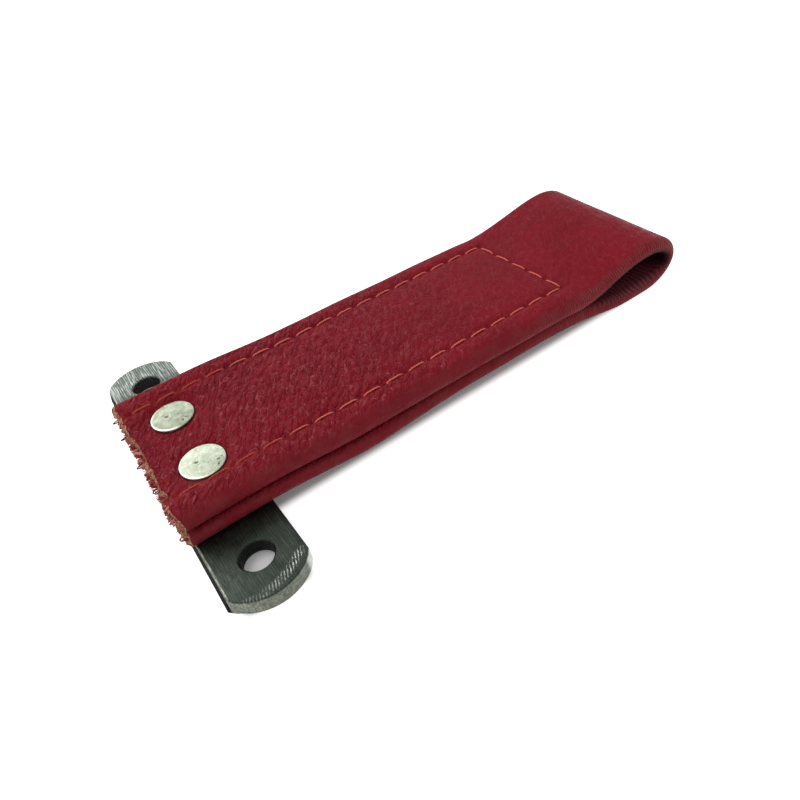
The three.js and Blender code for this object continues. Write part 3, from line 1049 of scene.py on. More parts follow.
near_rivet = make_rivet("near_rivet", "rivet_near", rivet_places[0], 101)
far_rivet = make_rivet("far_rivet", "rivet_far", rivet_places[1], 131)

# %% [markdown]
# The plate is a short length of drawn steel flat with rounded ends and two drilled holes.
# Its outline is two arcs and two straight sides, and the slab is that outline carried round a
# small rounded edge. The holes are cut with turned cutters, so their chamfers come for free.

# %% Mounting plate: outline
plate_end_rise = 3.3
corner_clip = 0.6
arc_points = 40


def plate_outline(inset):
    """Corner points of the plate, pulled in by inset: arc at the far end, straight side, near arc, side."""
    half = plate_edge - inset
    tip = plate_tip - inset
    radius = (half ** 2 + plate_end_rise ** 2) / (2 * plate_end_rise)
    spread = math.asin((half - corner_clip) / radius)
    turn = np.linspace(math.pi / 2 - spread, math.pi / 2 + spread, arc_points)
    far_arc = np.stack([radius * np.cos(turn), tip - radius + radius * np.sin(turn)], axis=1)
    shoulder = tip - plate_end_rise - corner_clip / 2
    side = np.linspace(shoulder, -shoulder, 12)
    left = np.stack([np.full_like(side, -half), side], axis=1)
    return np.concatenate([far_arc, left, -far_arc, -left])


print("outline of %d points" % len(plate_outline(0)))

# %% [markdown]
# A Bevel modifier could round the edges, but here the outline itself is pulled in a little on
# the way up: first out round the lower corner, then straight up, then in round the upper one.
# The left side was sheared from the bar, so it leans out toward the floor.

# %% Mounting plate: slab
side_lean = 0.6
edge_round = 0.28


def plate_slab():
    """The outline carried up the edge: inset shrinks and grows as 1 - sine; n-gons close it.

    The left side leans out toward the floor by side_lean, as a sheared edge does.
    """
    bend = np.linspace(0, math.pi / 2, 5)
    insets = edge_round * (1 - np.sin(bend))
    rises = edge_round * (1 - np.cos(bend))
    levels = list(zip(insets, rises))
    levels += [(inset, plate_thickness - rise) for inset, rise in reversed(levels)]
    rings = np.array([np.pad(plate_outline(i), ((0, 0), (0, 1)), constant_values=z) for i, z in levels])
    left_side = ease(-rings[..., 0], plate_edge - 1, plate_edge)
    rings[..., 0] -= side_lean * left_side * (1 - rings[..., 2] / plate_thickness)
    return rings, capped_faces(*rings.shape[:2])


steel_plate = make_piece("drilled_steel_plate", *plate_slab())

# %% [markdown]
# Drilling is what it is in the workshop: a turned tool takes material away. The screw hole's
# tool has fine ridges on its wall and wider ends for the chamfers. The rivet hole's tool is
# wide below, where the rivet's tail is set.

# %% Mounting plate: drills
hole_radius = 2.55
screw_y = 25.4
shank_clearance = 0.3
drill_columns = 72
ridge_height = 0.035
ridge_pitch = 0.42


def turned_cutter(name, y, profile):
    """A closed turned body about an upright axis at y, from (radius, height) pairs."""
    rings = turned(profile, drill_columns)
    rings[..., 1] += y
    mesh = bpy.data.meshes.new(name)
    mesh.from_pydata((rings.reshape(-1, 3) * MM).tolist(), [], capped_faces(*rings.shape[:2]))
    cutter = bpy.data.objects.new(name, mesh)
    bpy.context.collection.objects.link(cutter)
    return cutter


def screw_hole_profile():
    """Drilled wall with fine tool ridges, opened by a small chamfer above and below."""
    heights = np.linspace(edge_round, plate_thickness - edge_round, 25)
    wall = [(hole_radius + ridge_height * math.sin(2 * math.pi * z / ridge_pitch), z) for z in heights]
    wide = hole_radius + edge_round + 1
    return [(wide, -1)] + wall + [(wide, plate_thickness + 1)]


def rivet_hole_profile():
    """Clearance for the shank, widened below for the set tail."""
    narrow = shank_radius + shank_clearance
    wide = tail_radius + shank_clearance
    depth = tail_depth + shank_clearance
    slope = (wide - narrow) / depth
    return [(wide + slope, -1), (narrow, depth), (narrow, plate_thickness + 1)]


print("screw hole %.1f mm wide, rivet hole %.1f mm" % (2 * hole_radius, 2 * (shank_radius + shank_clearance)))

# %% [markdown]
# The Boolean modifier subtracts each tool, and its result is kept as the plate's own mesh,
# because the tools are thrown away afterwards. Sharp edges are marked last, by angle.

# %% Mounting plate: drilling
sharp_angle = math.radians(32)


def cut_away(piece, cutters):
    """Applies one exact boolean difference per cutter and keeps the result in the piece's own mesh."""
    for cutter in cutters:
        modifier = piece.modifiers.new(cutter.name, "BOOLEAN")
        modifier.operation = "DIFFERENCE"
        modifier.solver = "EXACT"
        modifier.object = cutter
    shown = piece.evaluated_get(bpy.context.evaluated_depsgraph_get())
    piece.data = bpy.data.meshes.new_from_object(shown)
    piece.modifiers.clear()
    for cutter in cutters:
        bpy.data.objects.remove(cutter)


cut_away(steel_plate, [
    *(turned_cutter("screw_cut", side * screw_y, screw_hole_profile()) for side in (-1, 1)),
    *(turned_cutter("rivet_cut", y, rivet_hole_profile()) for y in rivet_places),
])
steel_plate.data.shade_smooth()
steel_plate.data.set_sharp_from_angle(angle=sharp_angle)
print("plate after drilling: %d faces" % len(steel_plate.data.polygons))
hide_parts("mounting_plate")

# %% [markdown]
# Materials are drawn with nodes. Writing each node by hand hides the idea behind the plumbing,
# so a small class adds them: a method adds a node or two and gives back an output, and a value
# can be a number or another node's output. The world uses the same class for its own tree.

# %% A helper for node trees
class Nodes:
    """A node tree being put together."""

    def __init__(self, tree):
        self.tree = tree

    def feed(self, socket, value):
        """Links a node's output to a socket, or sets the socket to a plain value."""
        if isinstance(value, bpy.types.NodeSocket):
            self.tree.links.new(value, socket)
        else:
            socket.default_value = value

    def add(self, kind, inputs=None, **fields):
        """Adds a node, sets its fields and feeds its inputs, which are given by name or number."""
        node = self.tree.nodes.new(kind)
        for key, value in fields.items():
            setattr(node, key, value)
        for key, value in (inputs or {}).items():
            self.feed(node.inputs[key], value)
        return node

    def math(self, operation, a, b=0.0):
        return self.add("ShaderNodeMath", {0: a, 1: b}, operation=operation).outputs[0]

    def times(self, a, b):
        return self.math("MULTIPLY", a, b)

    def vectors(self, operation, *values):
        """A formula of vectors; a dot product, a distance and a length give a plain value."""
        node = self.add("ShaderNodeVectorMath", dict(enumerate(values)), operation=operation)
        plain = operation in ("DOT_PRODUCT", "DISTANCE", "LENGTH")
        return node.outputs["Value" if plain else "Vector"]

    def ramp(self, value, low, high, start=0.0, end=1.0):
        """Maps low..high to start..end by a smooth step, clamped."""
        inputs = {"Value": value, "From Min": low, "From Max": high, "To Min": start, "To Max": end}
        return self.add("ShaderNodeMapRange", inputs, interpolation_type="SMOOTHSTEP").outputs["Result"]

    def mix(self, share, a, b):
        """Colour a where share is 0, colour b where it is 1."""
        return self.add("ShaderNodeMix", {0: share, 6: a, 7: b}, data_type="RGBA").outputs[2]

    def seen_directly(self):
        """1 for camera, glossy and transmission rays, 0 for the rays that carry light on."""
        path = self.add("ShaderNodeLightPath").outputs
        seen = self.math("MAXIMUM", path["Is Camera Ray"], path["Is Glossy Ray"])
        return self.math("MAXIMUM", seen, path["Is Transmission Ray"])


print("node helper with", len([name for name in vars(Nodes) if name[0] != "_"]), "methods")

# %% [markdown]
# A finish is the node tree of one piece's material. Patterns read Object coordinates, so they
# are true to size and stay where they are, and sizes are given in millimetres. The colour is
# painted as on a workbench: a first coat, then one coat over the other, each by its own mask.

# %% A helper for finishes
def srgb(red, green, blue):
    """A screen colour, 0 to 255, as the linear colour that shaders use."""
    values = np.array([red, green, blue]) / 255
    linear = np.where(values <= 0.04045, values / 12.92, ((values + 0.055) / 1.055) ** 2.4)
    return (*linear.tolist(), 1.0)


class Finish(Nodes):
    """A material being put together; colour holds the coats that are painted so far."""

    def __init__(self, name):
        self.material = bpy.data.materials.new(name)
        self.material.use_nodes = True
        super().__init__(self.material.node_tree)
        self.shader = self.tree.nodes["Principled BSDF"]
        self.coordinates = self.add("ShaderNodeTexCoord").outputs["Object"]
        self.colour = None

    def attribute(self, name):
        return self.add("ShaderNodeAttribute", attribute_name=name).outputs["Fac"]

    def strip_distance(self, factor):
        """Distance along the strip in millimetres, times a factor, read from the strip's UV map."""
        strip = self.add("ShaderNodeUVMap", uv_map="strip").outputs["UV"]
        return self.vectors("DOT_PRODUCT", strip, (factor / MM, 0, 0))

    def along(self, x, y, z=0.0):
        """How far a point lies along a direction, in millimetres: the dot product with it."""
        return self.vectors("DOT_PRODUCT", self.coordinates, (x / MM, y / MM, z / MM))

    def height(self):
        """Height in millimetres above the floor."""
        return self.along(0, 0, 1)

    def from_axis(self, x_mm, y_mm):
        """Distance in millimetres from an upright axis."""
        flat = self.vectors("MULTIPLY", self.coordinates, (1 / MM, 1 / MM, 0))
        return self.vectors("DISTANCE", flat, (x_mm, y_mm, 0))

    def stretched(self, stretch, turn=0.0):
        """Coordinates that draw a pattern longer by stretch along axes turned about Z, in radians."""
        inputs = {"Vector": self.coordinates, "Scale": stretch, "Rotation": (0, 0, turn)}
        return self.add("ShaderNodeMapping", inputs, vector_type="TEXTURE").outputs["Vector"]

    def noise(self, size_mm, detail=2.0, vector=None, roughness=0.5, output="Fac"):
        vector = self.coordinates if vector is None else vector
        inputs = {"Vector": vector, "Scale": 1 / (size_mm * MM), "Detail": detail, "Roughness": roughness}
        return self.add("ShaderNodeTexNoise", inputs).outputs[output]

    def clouds(self, size_mm, detail, low=0.3, high=0.7, start=0.0, end=1.0, **options):
        """Noise whose values from low to high are spread over start to end."""
        return self.ramp(self.noise(size_mm, detail, **options), low, high, start, end)

    def warped(self, vector, size_mm, amount_mm):
        """Coordinates pushed about by a coloured noise."""
        push = self.noise(size_mm, vector=vector, output="Color")
        return self.vectors("MULTIPLY_ADD", push, (amount_mm * MM,) * 3, vector)

    def cells(self, size_mm, vector, feature="F1"):
        inputs = {"Vector": vector, "Scale": 1 / (size_mm * MM)}
        return self.add("ShaderNodeTexVoronoi", inputs, feature=feature).outputs["Distance"]

    def rows(self, phase, wander, low, high):
        """Rows that run where the sine of a phase, moved on by wander, is high."""
        return self.ramp(self.math("SINE", self.math("ADD", phase, wander)), low, high)

    def bump(self, height, depth_mm, under=None):
        """A bump whose full height is depth_mm, on top of another bump if one is given."""
        inputs = {"Distance": depth_mm * MM, "Height": height}
        if under is not None:
            inputs["Normal"] = under
        return self.add("ShaderNodeBump", inputs).outputs["Normal"]

    def paint(self, share, colour, strength=None):
        """Lays a coat over the others by share, or by share times strength."""
        if strength is not None:
            share = self.times(share, strength)
        self.colour = self.mix(share, self.colour, colour)

    def finish(self, piece, **sockets):
        """Feeds the shader's sockets, named with _ for spaces, and gives the material to the piece."""
        self.feed(self.shader.inputs["Base Color"], self.colour)
        for key, value in sockets.items():
            self.feed(self.shader.inputs[key.replace("_", " ")], value)
        piece.data.materials.clear()
        piece.data.materials.append(self.material)
        print("%s: %d nodes on %s" % (self.material.name, len(self.tree.nodes), piece.name))


print("mid grey on screen is %.3f in a shader" % srgb(128, 128, 128)[0])

# %% [markdown]
# The leather is crimson: two close reds in slow clouds, under a darker mottle. Its grain is
# strong near the rivets and fades toward the loop. The borders of warped cells, drawn long
# across the strap, are the folds between the pebbles, darkened by painted shade. Streaky patches
# pick the borders that stand up and catch the light, and those get painted highlights as short
# pale creases.

# %% Leather: dye and grain
deep_crimson = srgb(126, 20, 34)
bright_crimson = srgb(138, 23, 37)
dark_crimson = srgb(108, 18, 30)
# Painted shade in the folds, and a painted highlight on the creases that stand up.
fold_shadow = srgb(66, 8, 18)
crease_highlight = srgb(188, 96, 104)
grain_turn = math.radians(-29)
cell_stretch = (1.0, 2.3, 1.0)
streak_stretch = (1.0, 4.0, 1.0)
cell_size = 0.95
pebble_size = 1.0
border_width = 0.1
border_height = 0.4


def leather_dye(leather, across_strap):
    """Two reds mixed by clouds of 9 mm, then 0.4 of a darker one by clouds of 0.7 mm."""
    leather.colour = leather.mix(leather.clouds(9.0, 3.0), deep_crimson, bright_crimson)
    leather.paint(leather.clouds(0.7, 3.0, 0.35, 0.7, vector=across_strap), dark_crimson, 0.4)


def leather_grain(leather, across_strap):
    """Paints shade into the folds and highlights onto the creases of the cells' borders; gives the height:
    minus pebbles, minus borders.
    """
    warped = leather.warped(across_strap, 1.6, 0.9)
    grain = leather.attribute("grain")
    streaks = leather.stretched(streak_stretch, grain_turn)
    edge_distance = leather.cells(cell_size, warped, "DISTANCE_TO_EDGE")
    border = leather.times(leather.ramp(edge_distance, 0.0, border_width, 1.0, 0.0), grain)
    crease = leather.times(border, leather.clouds(0.6, 2.0, 0.46, 0.62, vector=streaks))
    # Painted shade in the folds, then painted highlights on the raised creases.
    leather.paint(leather.math("SUBTRACT", border, crease), fold_shadow, 0.2)
    leather.paint(crease, crease_highlight, 0.5)
    pebbles = leather.ramp(leather.cells(pebble_size, warped), 0.0, 0.9)
    sunk = leather.times(pebbles, leather.times(grain, -1.0))
    return leather.math("SUBTRACT", sunk, leather.times(border, border_height))


print("grain cells of %.2f mm, turned by %.0f degrees" % (cell_size, math.degrees(grain_turn)))

# %% [markdown]
# The rolled edges get a greyer painted sheen, and bending has opened fine wrinkles across them
# near the loop, which get painted highlights. The wrinkles follow the distance along the strip,
# which the UV map carries, so they turn with the leather round the nose. Inside the loop the ribs
# lie in shade, which is painted as well, because soft light from all sides would fill it: painted
# shade in their valleys, a painted highlight on their crests, and deeper painted shade higher up.

# %% Leather: rolled edges and the inside of the loop
# Greyish painted sheen on the rolled shoulders, and painted highlights on their wrinkles.
sheen_rose = srgb(132, 58, 60)
wrinkle_highlight = srgb(164, 92, 92)
# Painted shade in the rib valleys, painted highlight on the rib crests, painted shade high in the loop.
rib_valley_shade = srgb(44, 13, 18)
rib_crest_highlight = srgb(124, 58, 66)
loop_shade = srgb(18, 7, 9)
wrinkle_pitch = 0.58
shade_bottom = 2.6
shade_top = 5.0


def leather_edges(leather):
    """Paints a greyish painted sheen on the rolls and painted highlights on the wrinkles by the edges'
    attributes, and gives the wrinkles.
    """
    shoulder = leather.attribute("shoulder")
    sheen_patches = leather.clouds(2.2, 4.0, 0.35, 0.68, 0.35, 1.0, roughness=0.7)
    # Painted sheen on the rolled shoulders.
    leather.paint(leather.times(shoulder, sheen_patches), sheen_rose, 0.6)
    room = leather.times(leather.attribute("bend"), shoulder)
    room = leather.times(room, leather.clouds(0.9, 3.0, 0.36, 0.58, 0.2, 1.0))
    distance = leather.strip_distance(2 * math.pi / wrinkle_pitch)
    wrinkles = leather.rows(distance, leather.times(leather.noise(2.4), 12.0), -0.5, 0.9)
    wrinkles = leather.times(wrinkles, room)
    # Painted highlights on the wrinkles.
    leather.paint(wrinkles, wrinkle_highlight, 0.42)
    return wrinkles


def leather_inside(leather):
    """Painted shade in the ribs' valleys and a painted highlight on their crests, turning to painted shade
    between two heights.
    """
    # Ribs: painted shade in the valleys, painted highlight on the crests.
    ribs = leather.mix(leather.attribute("rib"), rib_valley_shade, rib_crest_highlight)
    shade = leather.ramp(leather.height(), shade_bottom, shade_top, 0.0, 0.95)
    leather.paint(leather.attribute("inside"), leather.mix(shade, ribs, loop_shade))


print("wrinkles every %.2f mm, the loop in shade above %.1f mm" % (wrinkle_pitch, shade_top))

# %% [markdown]
# Last come the marks of making and use, and painted shade: coral dye smeared along the pressed
# seam, painted shade in the needle holes and a thin line of painted shade round each rivet head.
# The cut edge and the flesh side were never dyed through, so they turn to tan. Three bumps follow:
# the grain, the wrinkles and the pores.

# %% Leather: marks, painted shade, cut edge and bumps
thread_smear = srgb(176, 60, 48)
hole_shadow = srgb(58, 6, 12)
head_shadow = srgb(40, 5, 10)
dark_tan = srgb(128, 66, 52)
light_tan = srgb(196, 150, 118)
head_shade_line = 0.3
grain_depth = 0.34
wrinkle_depth = 0.06
pore_depth = 0.03


def leather_marks_and_shade(leather):
    """Smear by its attribute, painted shade in the holes by theirs, and a line of painted shade that fades
    out over 0.3 mm round each head.
    """
    smear = leather.times(leather.attribute("smear"), leather.clouds(0.7, 3.0, 0.3, 0.6))
    leather.paint(smear, thread_smear, 0.6)
    # Painted shade in the needle holes.
    leather.paint(leather.attribute("hole"), hole_shadow, 0.3)
    # A thin line of painted shade round each rivet head.
    for y in rivet_places:
        from_head = leather.from_axis(head_shift, y)
        leather.paint(leather.ramp(from_head, head_radius, head_radius + head_shade_line, 0.8, 0.0), head_shadow)


def crimson_leather(piece):
    """Coats from the dye through painted light and shade to the marks, tan where flesh is 1, bumps on bumps,
    and uneven roughness.
    """
    leather = Finish("crimson_leather")
    across_strap = leather.stretched(cell_stretch, grain_turn)
    leather_dye(leather, across_strap)
    grain_height = leather_grain(leather, across_strap)
    wrinkles = leather_edges(leather)
    leather_inside(leather)
    leather_marks_and_shade(leather)
    flesh = leather.attribute("flesh")
    tan = leather.mix(leather.clouds(0.5, 4.0, 0.35, 0.65), dark_tan, light_tan)
    leather.paint(leather.ramp(flesh, 0.25, 0.6), tan)
    normal = leather.bump(grain_height, grain_depth)
    normal = leather.bump(wrinkles, wrinkle_depth, normal)
    normal = leather.bump(leather.noise(0.22, 3.0), pore_depth, normal)
    rough_skin = leather.clouds(1.4, 3.0, start=0.38, end=0.54)
    rough = leather.math("MAXIMUM", rough_skin, leather.ramp(flesh, 0.2, 0.6, 0.0, 0.9))
    leather.finish(piece, Roughness=rough, Normal=normal, Specular_IOR_Level=0.04)


crimson_leather(sewn_cover)

# %% [markdown]
# Thread, webbing and loose fibres are matte. The thread is coral where it stands on the strap
# and darker red where the strap is pressed on the plate.
# The yarns of the webbing differ in tone, so each carries its own tone as an attribute.

# %% Thread and webbing
coral = srgb(204, 70, 62)
light_coral = srgb(242, 144, 124)
pressed_red = srgb(152, 42, 36)
pressed_coral = srgb(204, 82, 66)
yarn_red = srgb(120, 24, 32)
yarn_rose = srgb(172, 62, 64)
pale_rose = srgb(196, 92, 88)
undyed = srgb(236, 190, 172)
stained_dark = srgb(48, 24, 24)
stained_brown = srgb(112, 56, 50)


def coral_thread(piece):
    """Coral, or red where pressed is 1; a fine noise gives both the lighter hairs and the nap."""
    thread = Finish("coral_thread")
    hair = thread.noise(0.12, 3.0)
    thread.colour = thread.mix(hair, coral, light_coral)
    thread.paint(thread.attribute("pressed"), thread.mix(hair, pressed_red, pressed_coral))
    thread.finish(piece, Roughness=0.7, Normal=thread.bump(hair, 0.04), Specular_IOR_Level=0.3)


def red_webbing(piece):
    """Red for low tones and pale rose for high ones, each varied by a fine noise."""
    webbing = Finish("red_webbing")
    hair = webbing.noise(0.15, 3.0)
    webbing.colour = webbing.mix(hair, yarn_red, yarn_rose)
    light = webbing.ramp(webbing.attribute("tone"), 0.25, 0.9)
    webbing.paint(light, webbing.mix(hair, pale_rose, undyed))
    webbing.finish(piece, Roughness=0.85, Normal=webbing.bump(hair, 0.05), Specular_IOR_Level=0.2)


def dark_thread(piece):
    """Thin threads stained brown by the cut edge's dye."""
    dark = Finish("dark_thread")
    dark.colour = dark.mix(dark.noise(0.2, 3.0), stained_dark, stained_brown)
    dark.finish(piece, Roughness=0.8, Specular_IOR_Level=0.2)


coral_thread(top_stitches)
coral_thread(bottom_stitches)
red_webbing(frayed_webbing)
dark_thread(loose_threads)

# %% [markdown]
# The rivets are zinc plated: pale metal with a faint green tint, mottled and slightly rough.
# It could be one grey with a scratch picture, but a few round masks put each mark in its place:
# a dark dimple off the middle, a painted highlight on the rim on the side of the cut, and scuffs on
# the other. The far rivet is a darker copy: painted shade.

# %% Zinc
# Painted highlight on the lit side of each rim.
rim_highlight = srgb(236, 240, 228)
scuff_dark = srgb(62, 66, 54)
dimple_dark = srgb(66, 72, 58)
scuff_out = 0.8 * head_radius
lit_lean = 0.3


def mottled_zinc(piece, name, y_place, turn, dull, bright):
    """Clouds from dull to bright, a painted highlight on the rim, stains near the rim at the angle turn, and
    the dimple.
    """
    zinc = Finish(name)
    zinc.colour = zinc.mix(zinc.clouds(1.3, 4.0), dull, bright)
    rim = zinc.ramp(zinc.from_axis(head_shift, y_place), head_radius - 0.34, head_radius - 0.18)
    level = -lit_lean * y_place
    lit_side = zinc.ramp(zinc.along(-0.95, -lit_lean), level - head_shift, level + 3.0)
    # Painted highlight on the rim's lit side.
    zinc.paint(zinc.times(rim, lit_side), rim_highlight)
    scuff_x = head_shift + scuff_out * math.cos(math.radians(turn))
    scuff_y = y_place + scuff_out * math.sin(math.radians(turn))
    near_scuff = zinc.ramp(zinc.from_axis(scuff_x, scuff_y), 0.6, 2.0, 1.0, 0.12)
    stain = zinc.clouds(0.45, 4.0, 0.52, 0.66, roughness=0.65)
    zinc.paint(zinc.times(stain, near_scuff), scuff_dark)
    from_dimple = zinc.from_axis(head_shift + dimple_x, y_place + dimple_y)
    zinc.paint(zinc.ramp(from_dimple, 0.12, 0.5, 0.85, 0.0), dimple_dark)
    rough = zinc.clouds(0.6, 3.0, start=0.26, end=0.42)
    zinc.finish(piece, Roughness=rough, Normal=zinc.bump(zinc.noise(0.35, 3.0), 0.02), Metallic=0.9)


mottled_zinc(near_rivet, "near_zinc", rivet_places[0], -40, srgb(156, 166, 144), srgb(178, 184, 168))
# The far rivet's colours are darker than the near one's: painted shade.
mottled_zinc(far_rivet, "far_zinc_shaded", rivet_places[1], -55, srgb(128, 138, 116), srgb(156, 163, 144))

# %% [markdown]
# The plate is darker drawn steel. Drawing leaves fine lines along its length, and they show more
# on the far ear, which reflects a lamp; that reflection is painted on as well. The end faces are
# ground and lighter, partly by painted light, with a painted highlight toward +X. The hole walls
# get painted shade, and the sheared left side is darkest, with painted shade, under a painted
# highlight along its edge.

# %% Steel: lines, ends and edges
line_pitch = 0.42
far_start = 22
far_full = 27
end_start = plate_tip - plate_end_rise - 0.8
end_fade = 0.4
# Painted reflection of the far lamp on the far ear, and painted light on the end faces.
far_reflection_dark = srgb(72, 80, 74)
far_reflection_light = srgb(146, 153, 147)
ground_dark = srgb(98, 102, 91)
ground_light = srgb(136, 140, 125)
lit_ground = srgb(216, 220, 212)
# Painted shade on the hole walls, and a painted highlight on the rounded left edge.
hole_shade = srgb(26, 27, 24)
hole_fade = 0.15
edge_highlight = srgb(176, 182, 166)


def steel_lines(steel):
    """Rows across X, bent and broken by a grit that is drawn 20 times longer along Y."""
    grit = steel.noise(0.26, 3.0, steel.stretched((1.0, 20.0, 1.0)))
    across = steel.along(2 * math.pi / line_pitch, 0)
    return steel.times(steel.rows(across, steel.times(grit, 15.0), -0.4, 0.9), grit)


def steel_ends(steel, lines, speckle):
    """Paints the lamp's reflection on the far ear by y, and the end faces by height and |y|, lighter, with a
    painted highlight toward +X.
    """
    far_reflection = steel.mix(steel.ramp(lines, 0.05, 0.4), far_reflection_dark, far_reflection_light)
    # Painted reflection on the far ear.
    steel.paint(steel.ramp(steel.along(0, 1), far_start, far_full), far_reflection)
    low_part = steel.ramp(steel.height(), plate_thickness - edge_round, plate_thickness - 0.03, 0.75, 0.0)
    end_part = steel.ramp(steel.math("ABSOLUTE", steel.along(0, 1)), end_start, end_start + end_fade)
    ground = steel.mix(speckle, ground_dark, ground_light)
    # Painted highlight on the end faces toward +X.
    lit_end = steel.ramp(steel.along(1, 0), plate_edge - 1.5, plate_edge - 0.8)
    ground = steel.mix(lit_end, ground, lit_ground)
    steel.paint(steel.times(low_part, end_part), ground)


def steel_edges(steel, speckle):
    """Painted shade on the hole walls, which fades out just beyond the rim, and a painted highlight along the
    left edge.
    """
    for side in (-1, 1):
        from_hole = steel.from_axis(0, side * screw_y)
        # Painted shade on the hole walls.
        steel.paint(steel.ramp(from_hole, hole_radius, hole_radius + hole_fade, 0.8, 0.0), hole_shade)
    # Painted highlight along the rounded left edge.
    edge_glint = steel.ramp(steel.along(1, 0), -plate_edge + 0.15, -plate_edge + 0.4, 0.8, 0.0)
    edge_glint = steel.times(edge_glint, steel.ramp(steel.height(), plate_thickness - 0.2, plate_thickness))
    edge_glint = steel.times(edge_glint, steel.ramp(speckle, 0.0, 1.0, 0.4, 1.0))
    steel.paint(edge_glint, edge_highlight)


print("drawn lines every %.2f mm, ends ground beyond %.1f mm" % (line_pitch, end_start))

# %% [markdown]
# On the near ear a grinder has left an arc of short ticks, which catch the light and are painted
# as bright glints. Each mark could be a piece of its own, but they have no depth that shows. So
# they are rows again, slanted this time, and kept only near a circle whose middle and radius were
# fitted to the marks.

# %% Steel: ticks, and the whole finish
tick_middle = (-2.2, -20.8)
tick_radius = 10.9
tick_slant = (-0.94, 0.34)
tick_rate = 14
# Painted glints on the grinder ticks.
tick_glint = srgb(186, 194, 186)
deep_steel = srgb(40, 47, 41)
plain_steel = srgb(54, 61, 54)
line_light = srgb(92, 100, 90)
# Painted shade on the sheared left side.
side_shade = srgb(14, 16, 14)


def steel_ticks(steel, speckle):
    """Paints glints in slanted rows within 0.9 mm of the arc, only at the near end and more toward +X."""
    off_arc = steel.math("ABSOLUTE", steel.math("SUBTRACT", steel.from_axis(*tick_middle), tick_radius))
    near_end = steel.ramp(steel.along(0, 1), -end_start, -end_start + 0.6, 1.0, 0.0)
    room = steel.times(steel.ramp(off_arc, 0.3, 0.9, 1.0, 0.0), near_end)
    room = steel.times(room, steel.ramp(steel.along(1, 0), -1.5, 2.5, 0.25, 1.0))
    slanted = steel.along(*(tick_rate * part for part in tick_slant))
    ticks = steel.times(steel.rows(slanted, steel.times(speckle, 1.5), 0.0, 0.9), room)
    # The ticks are painted as glints.
    steel.paint(steel.times(ticks, steel.ramp(speckle, 0.0, 0.8, 0.15, 0.9)), tick_glint)


def drawn_steel(piece):
    """Dark clouds and lines, then ends, edges and ticks, and last painted shade on the sheared side, dull and
    near black.
    """
    steel = Finish("drawn_steel")
    lines = steel_lines(steel)
    speckle = steel.clouds(0.5, 4.0, 0.40, 0.62, roughness=0.7)
    steel.colour = steel.mix(steel.clouds(4.0, 4.0), deep_steel, plain_steel)
    steel.paint(steel.ramp(lines, 0.15, 0.6, 0.0, 0.24), line_light)
    steel_ends(steel, lines, speckle)
    steel_edges(steel, speckle)
    steel_ticks(steel, speckle)
    # The sheared left side gets painted shade.
    sheared = steel.ramp(steel.along(1, 0), -plate_edge - 0.08, -plate_edge, 1.0, 0.0)
    steel.paint(sheared, side_shade)
    rough = steel.math("MAXIMUM", steel.clouds(0.8, 3.0, start=0.32, end=0.48), sheared)
    steel.finish(piece, Roughness=rough, Normal=steel.bump(lines, 0.05), Metallic=0.85)


drawn_steel(steel_plate)

# %% [markdown]
# The floor is a plain white sheet. A floor lit only by lamps would be grey, so it also glows
# where the camera or a reflection looks at it, which makes it white without any more light.
# The glow fades out close to the pull, over boxes round the strap and the plate, which paints a shadow there;
# the true, soft shadow of the strap stays within it.

# %% Floor: where it glows
glow_inset = 2.3
glow_fade = 2.1
strap_low = cover_low
strap_high = np.array([belly_x, cover_high[1], loop_height])


def beyond_box(paper, low, high):
    """Distance in millimetres from a flat box pulled in by the inset: what |p - middle| has over its half."""
    middle = (high + low) / 2 * MM
    half = ((high - low) / 2 - glow_inset) * MM
    apart = paper.vectors("SUBTRACT", paper.coordinates, (middle[0], middle[1], 0))
    apart = paper.vectors("SUBTRACT", paper.vectors("ABSOLUTE", apart), (half[0], half[1], 1))
    apart = paper.vectors("LENGTH", paper.vectors("MAXIMUM", apart, (0, 0, 0)))
    return paper.times(apart, 1 / MM)


print("the glow starts %.1f mm inside the pull's outline" % glow_inset)

# %% [markdown]
# The sheet itself is one square face, a hair below the pull so that the two never share a
# plane. It reaches well beyond the photograph's view, and it is matte, so that it mirrors
# nothing. Staged pieces like this one are seen in the picture but aren't exported.

# %% Floor: the sheet
floor_reach = 2.0
floor_drop = 0.00002
floor_grey = 0.85
floor_glow = 0.8
shade_glow = 0.08


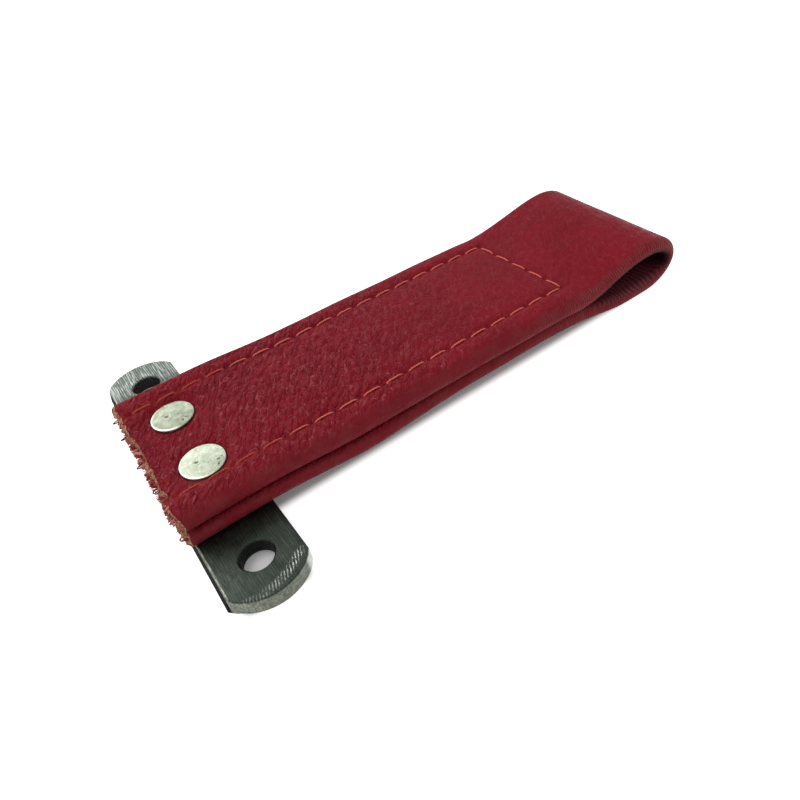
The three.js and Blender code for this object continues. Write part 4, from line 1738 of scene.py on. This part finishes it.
def white_floor():
    """A square sheet just under the object, whose glow only camera, glossy and transmission rays see, and
    which fades near the pull as a painted shadow.
    """
    mesh = bpy.data.meshes.new("white_floor")
    corners = floor_reach * np.array([(-1, -1, 0), (1, -1, 0), (1, 1, 0), (-1, 1, 0)])
    mesh.from_pydata((corners - (0, 0, floor_drop)).tolist(), [], [(0, 1, 2, 3)])
    sheet = bpy.data.objects.new("white_floor", mesh)
    bpy.context.collection.objects.link(sheet)
    paper = Finish("white_paper")
    paper.colour = (floor_grey, floor_grey, floor_grey, 1.0)
    from_strap = beyond_box(paper, strap_low, strap_high)
    from_plate = beyond_box(paper, plate_low, plate_high)
    apart = paper.math("MINIMUM", from_strap, from_plate)
    # The glow fades near the pull's boxes: a painted shadow, with the lamps' own shadow inside it.
    glow = paper.times(paper.seen_directly(), paper.ramp(apart, 0, glow_fade, shade_glow, floor_glow))
    paper.shader.inputs["Emission Color"].default_value = (1, 1, 1, 1)
    paper.finish(sheet, Roughness=1.0, Specular_IOR_Level=0.0, Emission_Strength=glow)
    return sheet


floor = white_floor()

# %% [markdown]
# The light is a photographer's: a bright tent all round, a large soft lamp above the far left,
# which throws the shadow to the near right, and a low wide one at the far side, which shows in
# the far ear of the plate. A lamp's strength here is how bright its face looks, with 1 as white.

# %% Light
tent_glow = 0.55
lamp_aim = Vector((0.03, 0, 0))


def softbox(name, place, width, height, strength):
    """An area lamp; its power is strength times area times pi, so that its face looks strength bright."""
    data = bpy.data.lights.new(name, "AREA")
    data.shape = "RECTANGLE"
    data.size = width
    data.size_y = height
    data.energy = strength * width * height * math.pi
    lamp = bpy.data.objects.new(name, data)
    toward = (lamp_aim - Vector(place)).normalized()
    lamp.matrix_world = Matrix.Translation(place) @ toward.to_track_quat("-Z", "Y").to_matrix().to_4x4()
    bpy.context.collection.objects.link(lamp)


def studio_tent():
    """A world that lights at tent_glow and looks white to the camera and in reflections."""
    world = bpy.data.worlds.new("studio_tent")
    world.use_nodes = True
    bpy.context.scene.world = world
    tent = Nodes(world.node_tree)
    background = tent.tree.nodes["Background"].inputs
    background["Color"].default_value = (1, 1, 1, 1)
    tent.feed(background["Strength"], tent.ramp(tent.seen_directly(), 0.0, 1.0, tent_glow, 1.0))


studio_tent()
softbox("key_softbox", (-0.20, 0.30, 0.62), 0.45, 0.45, 2.6)
softbox("far_softbox", (0.05, 0.75, 0.42), 0.9, 0.22, 2.4)
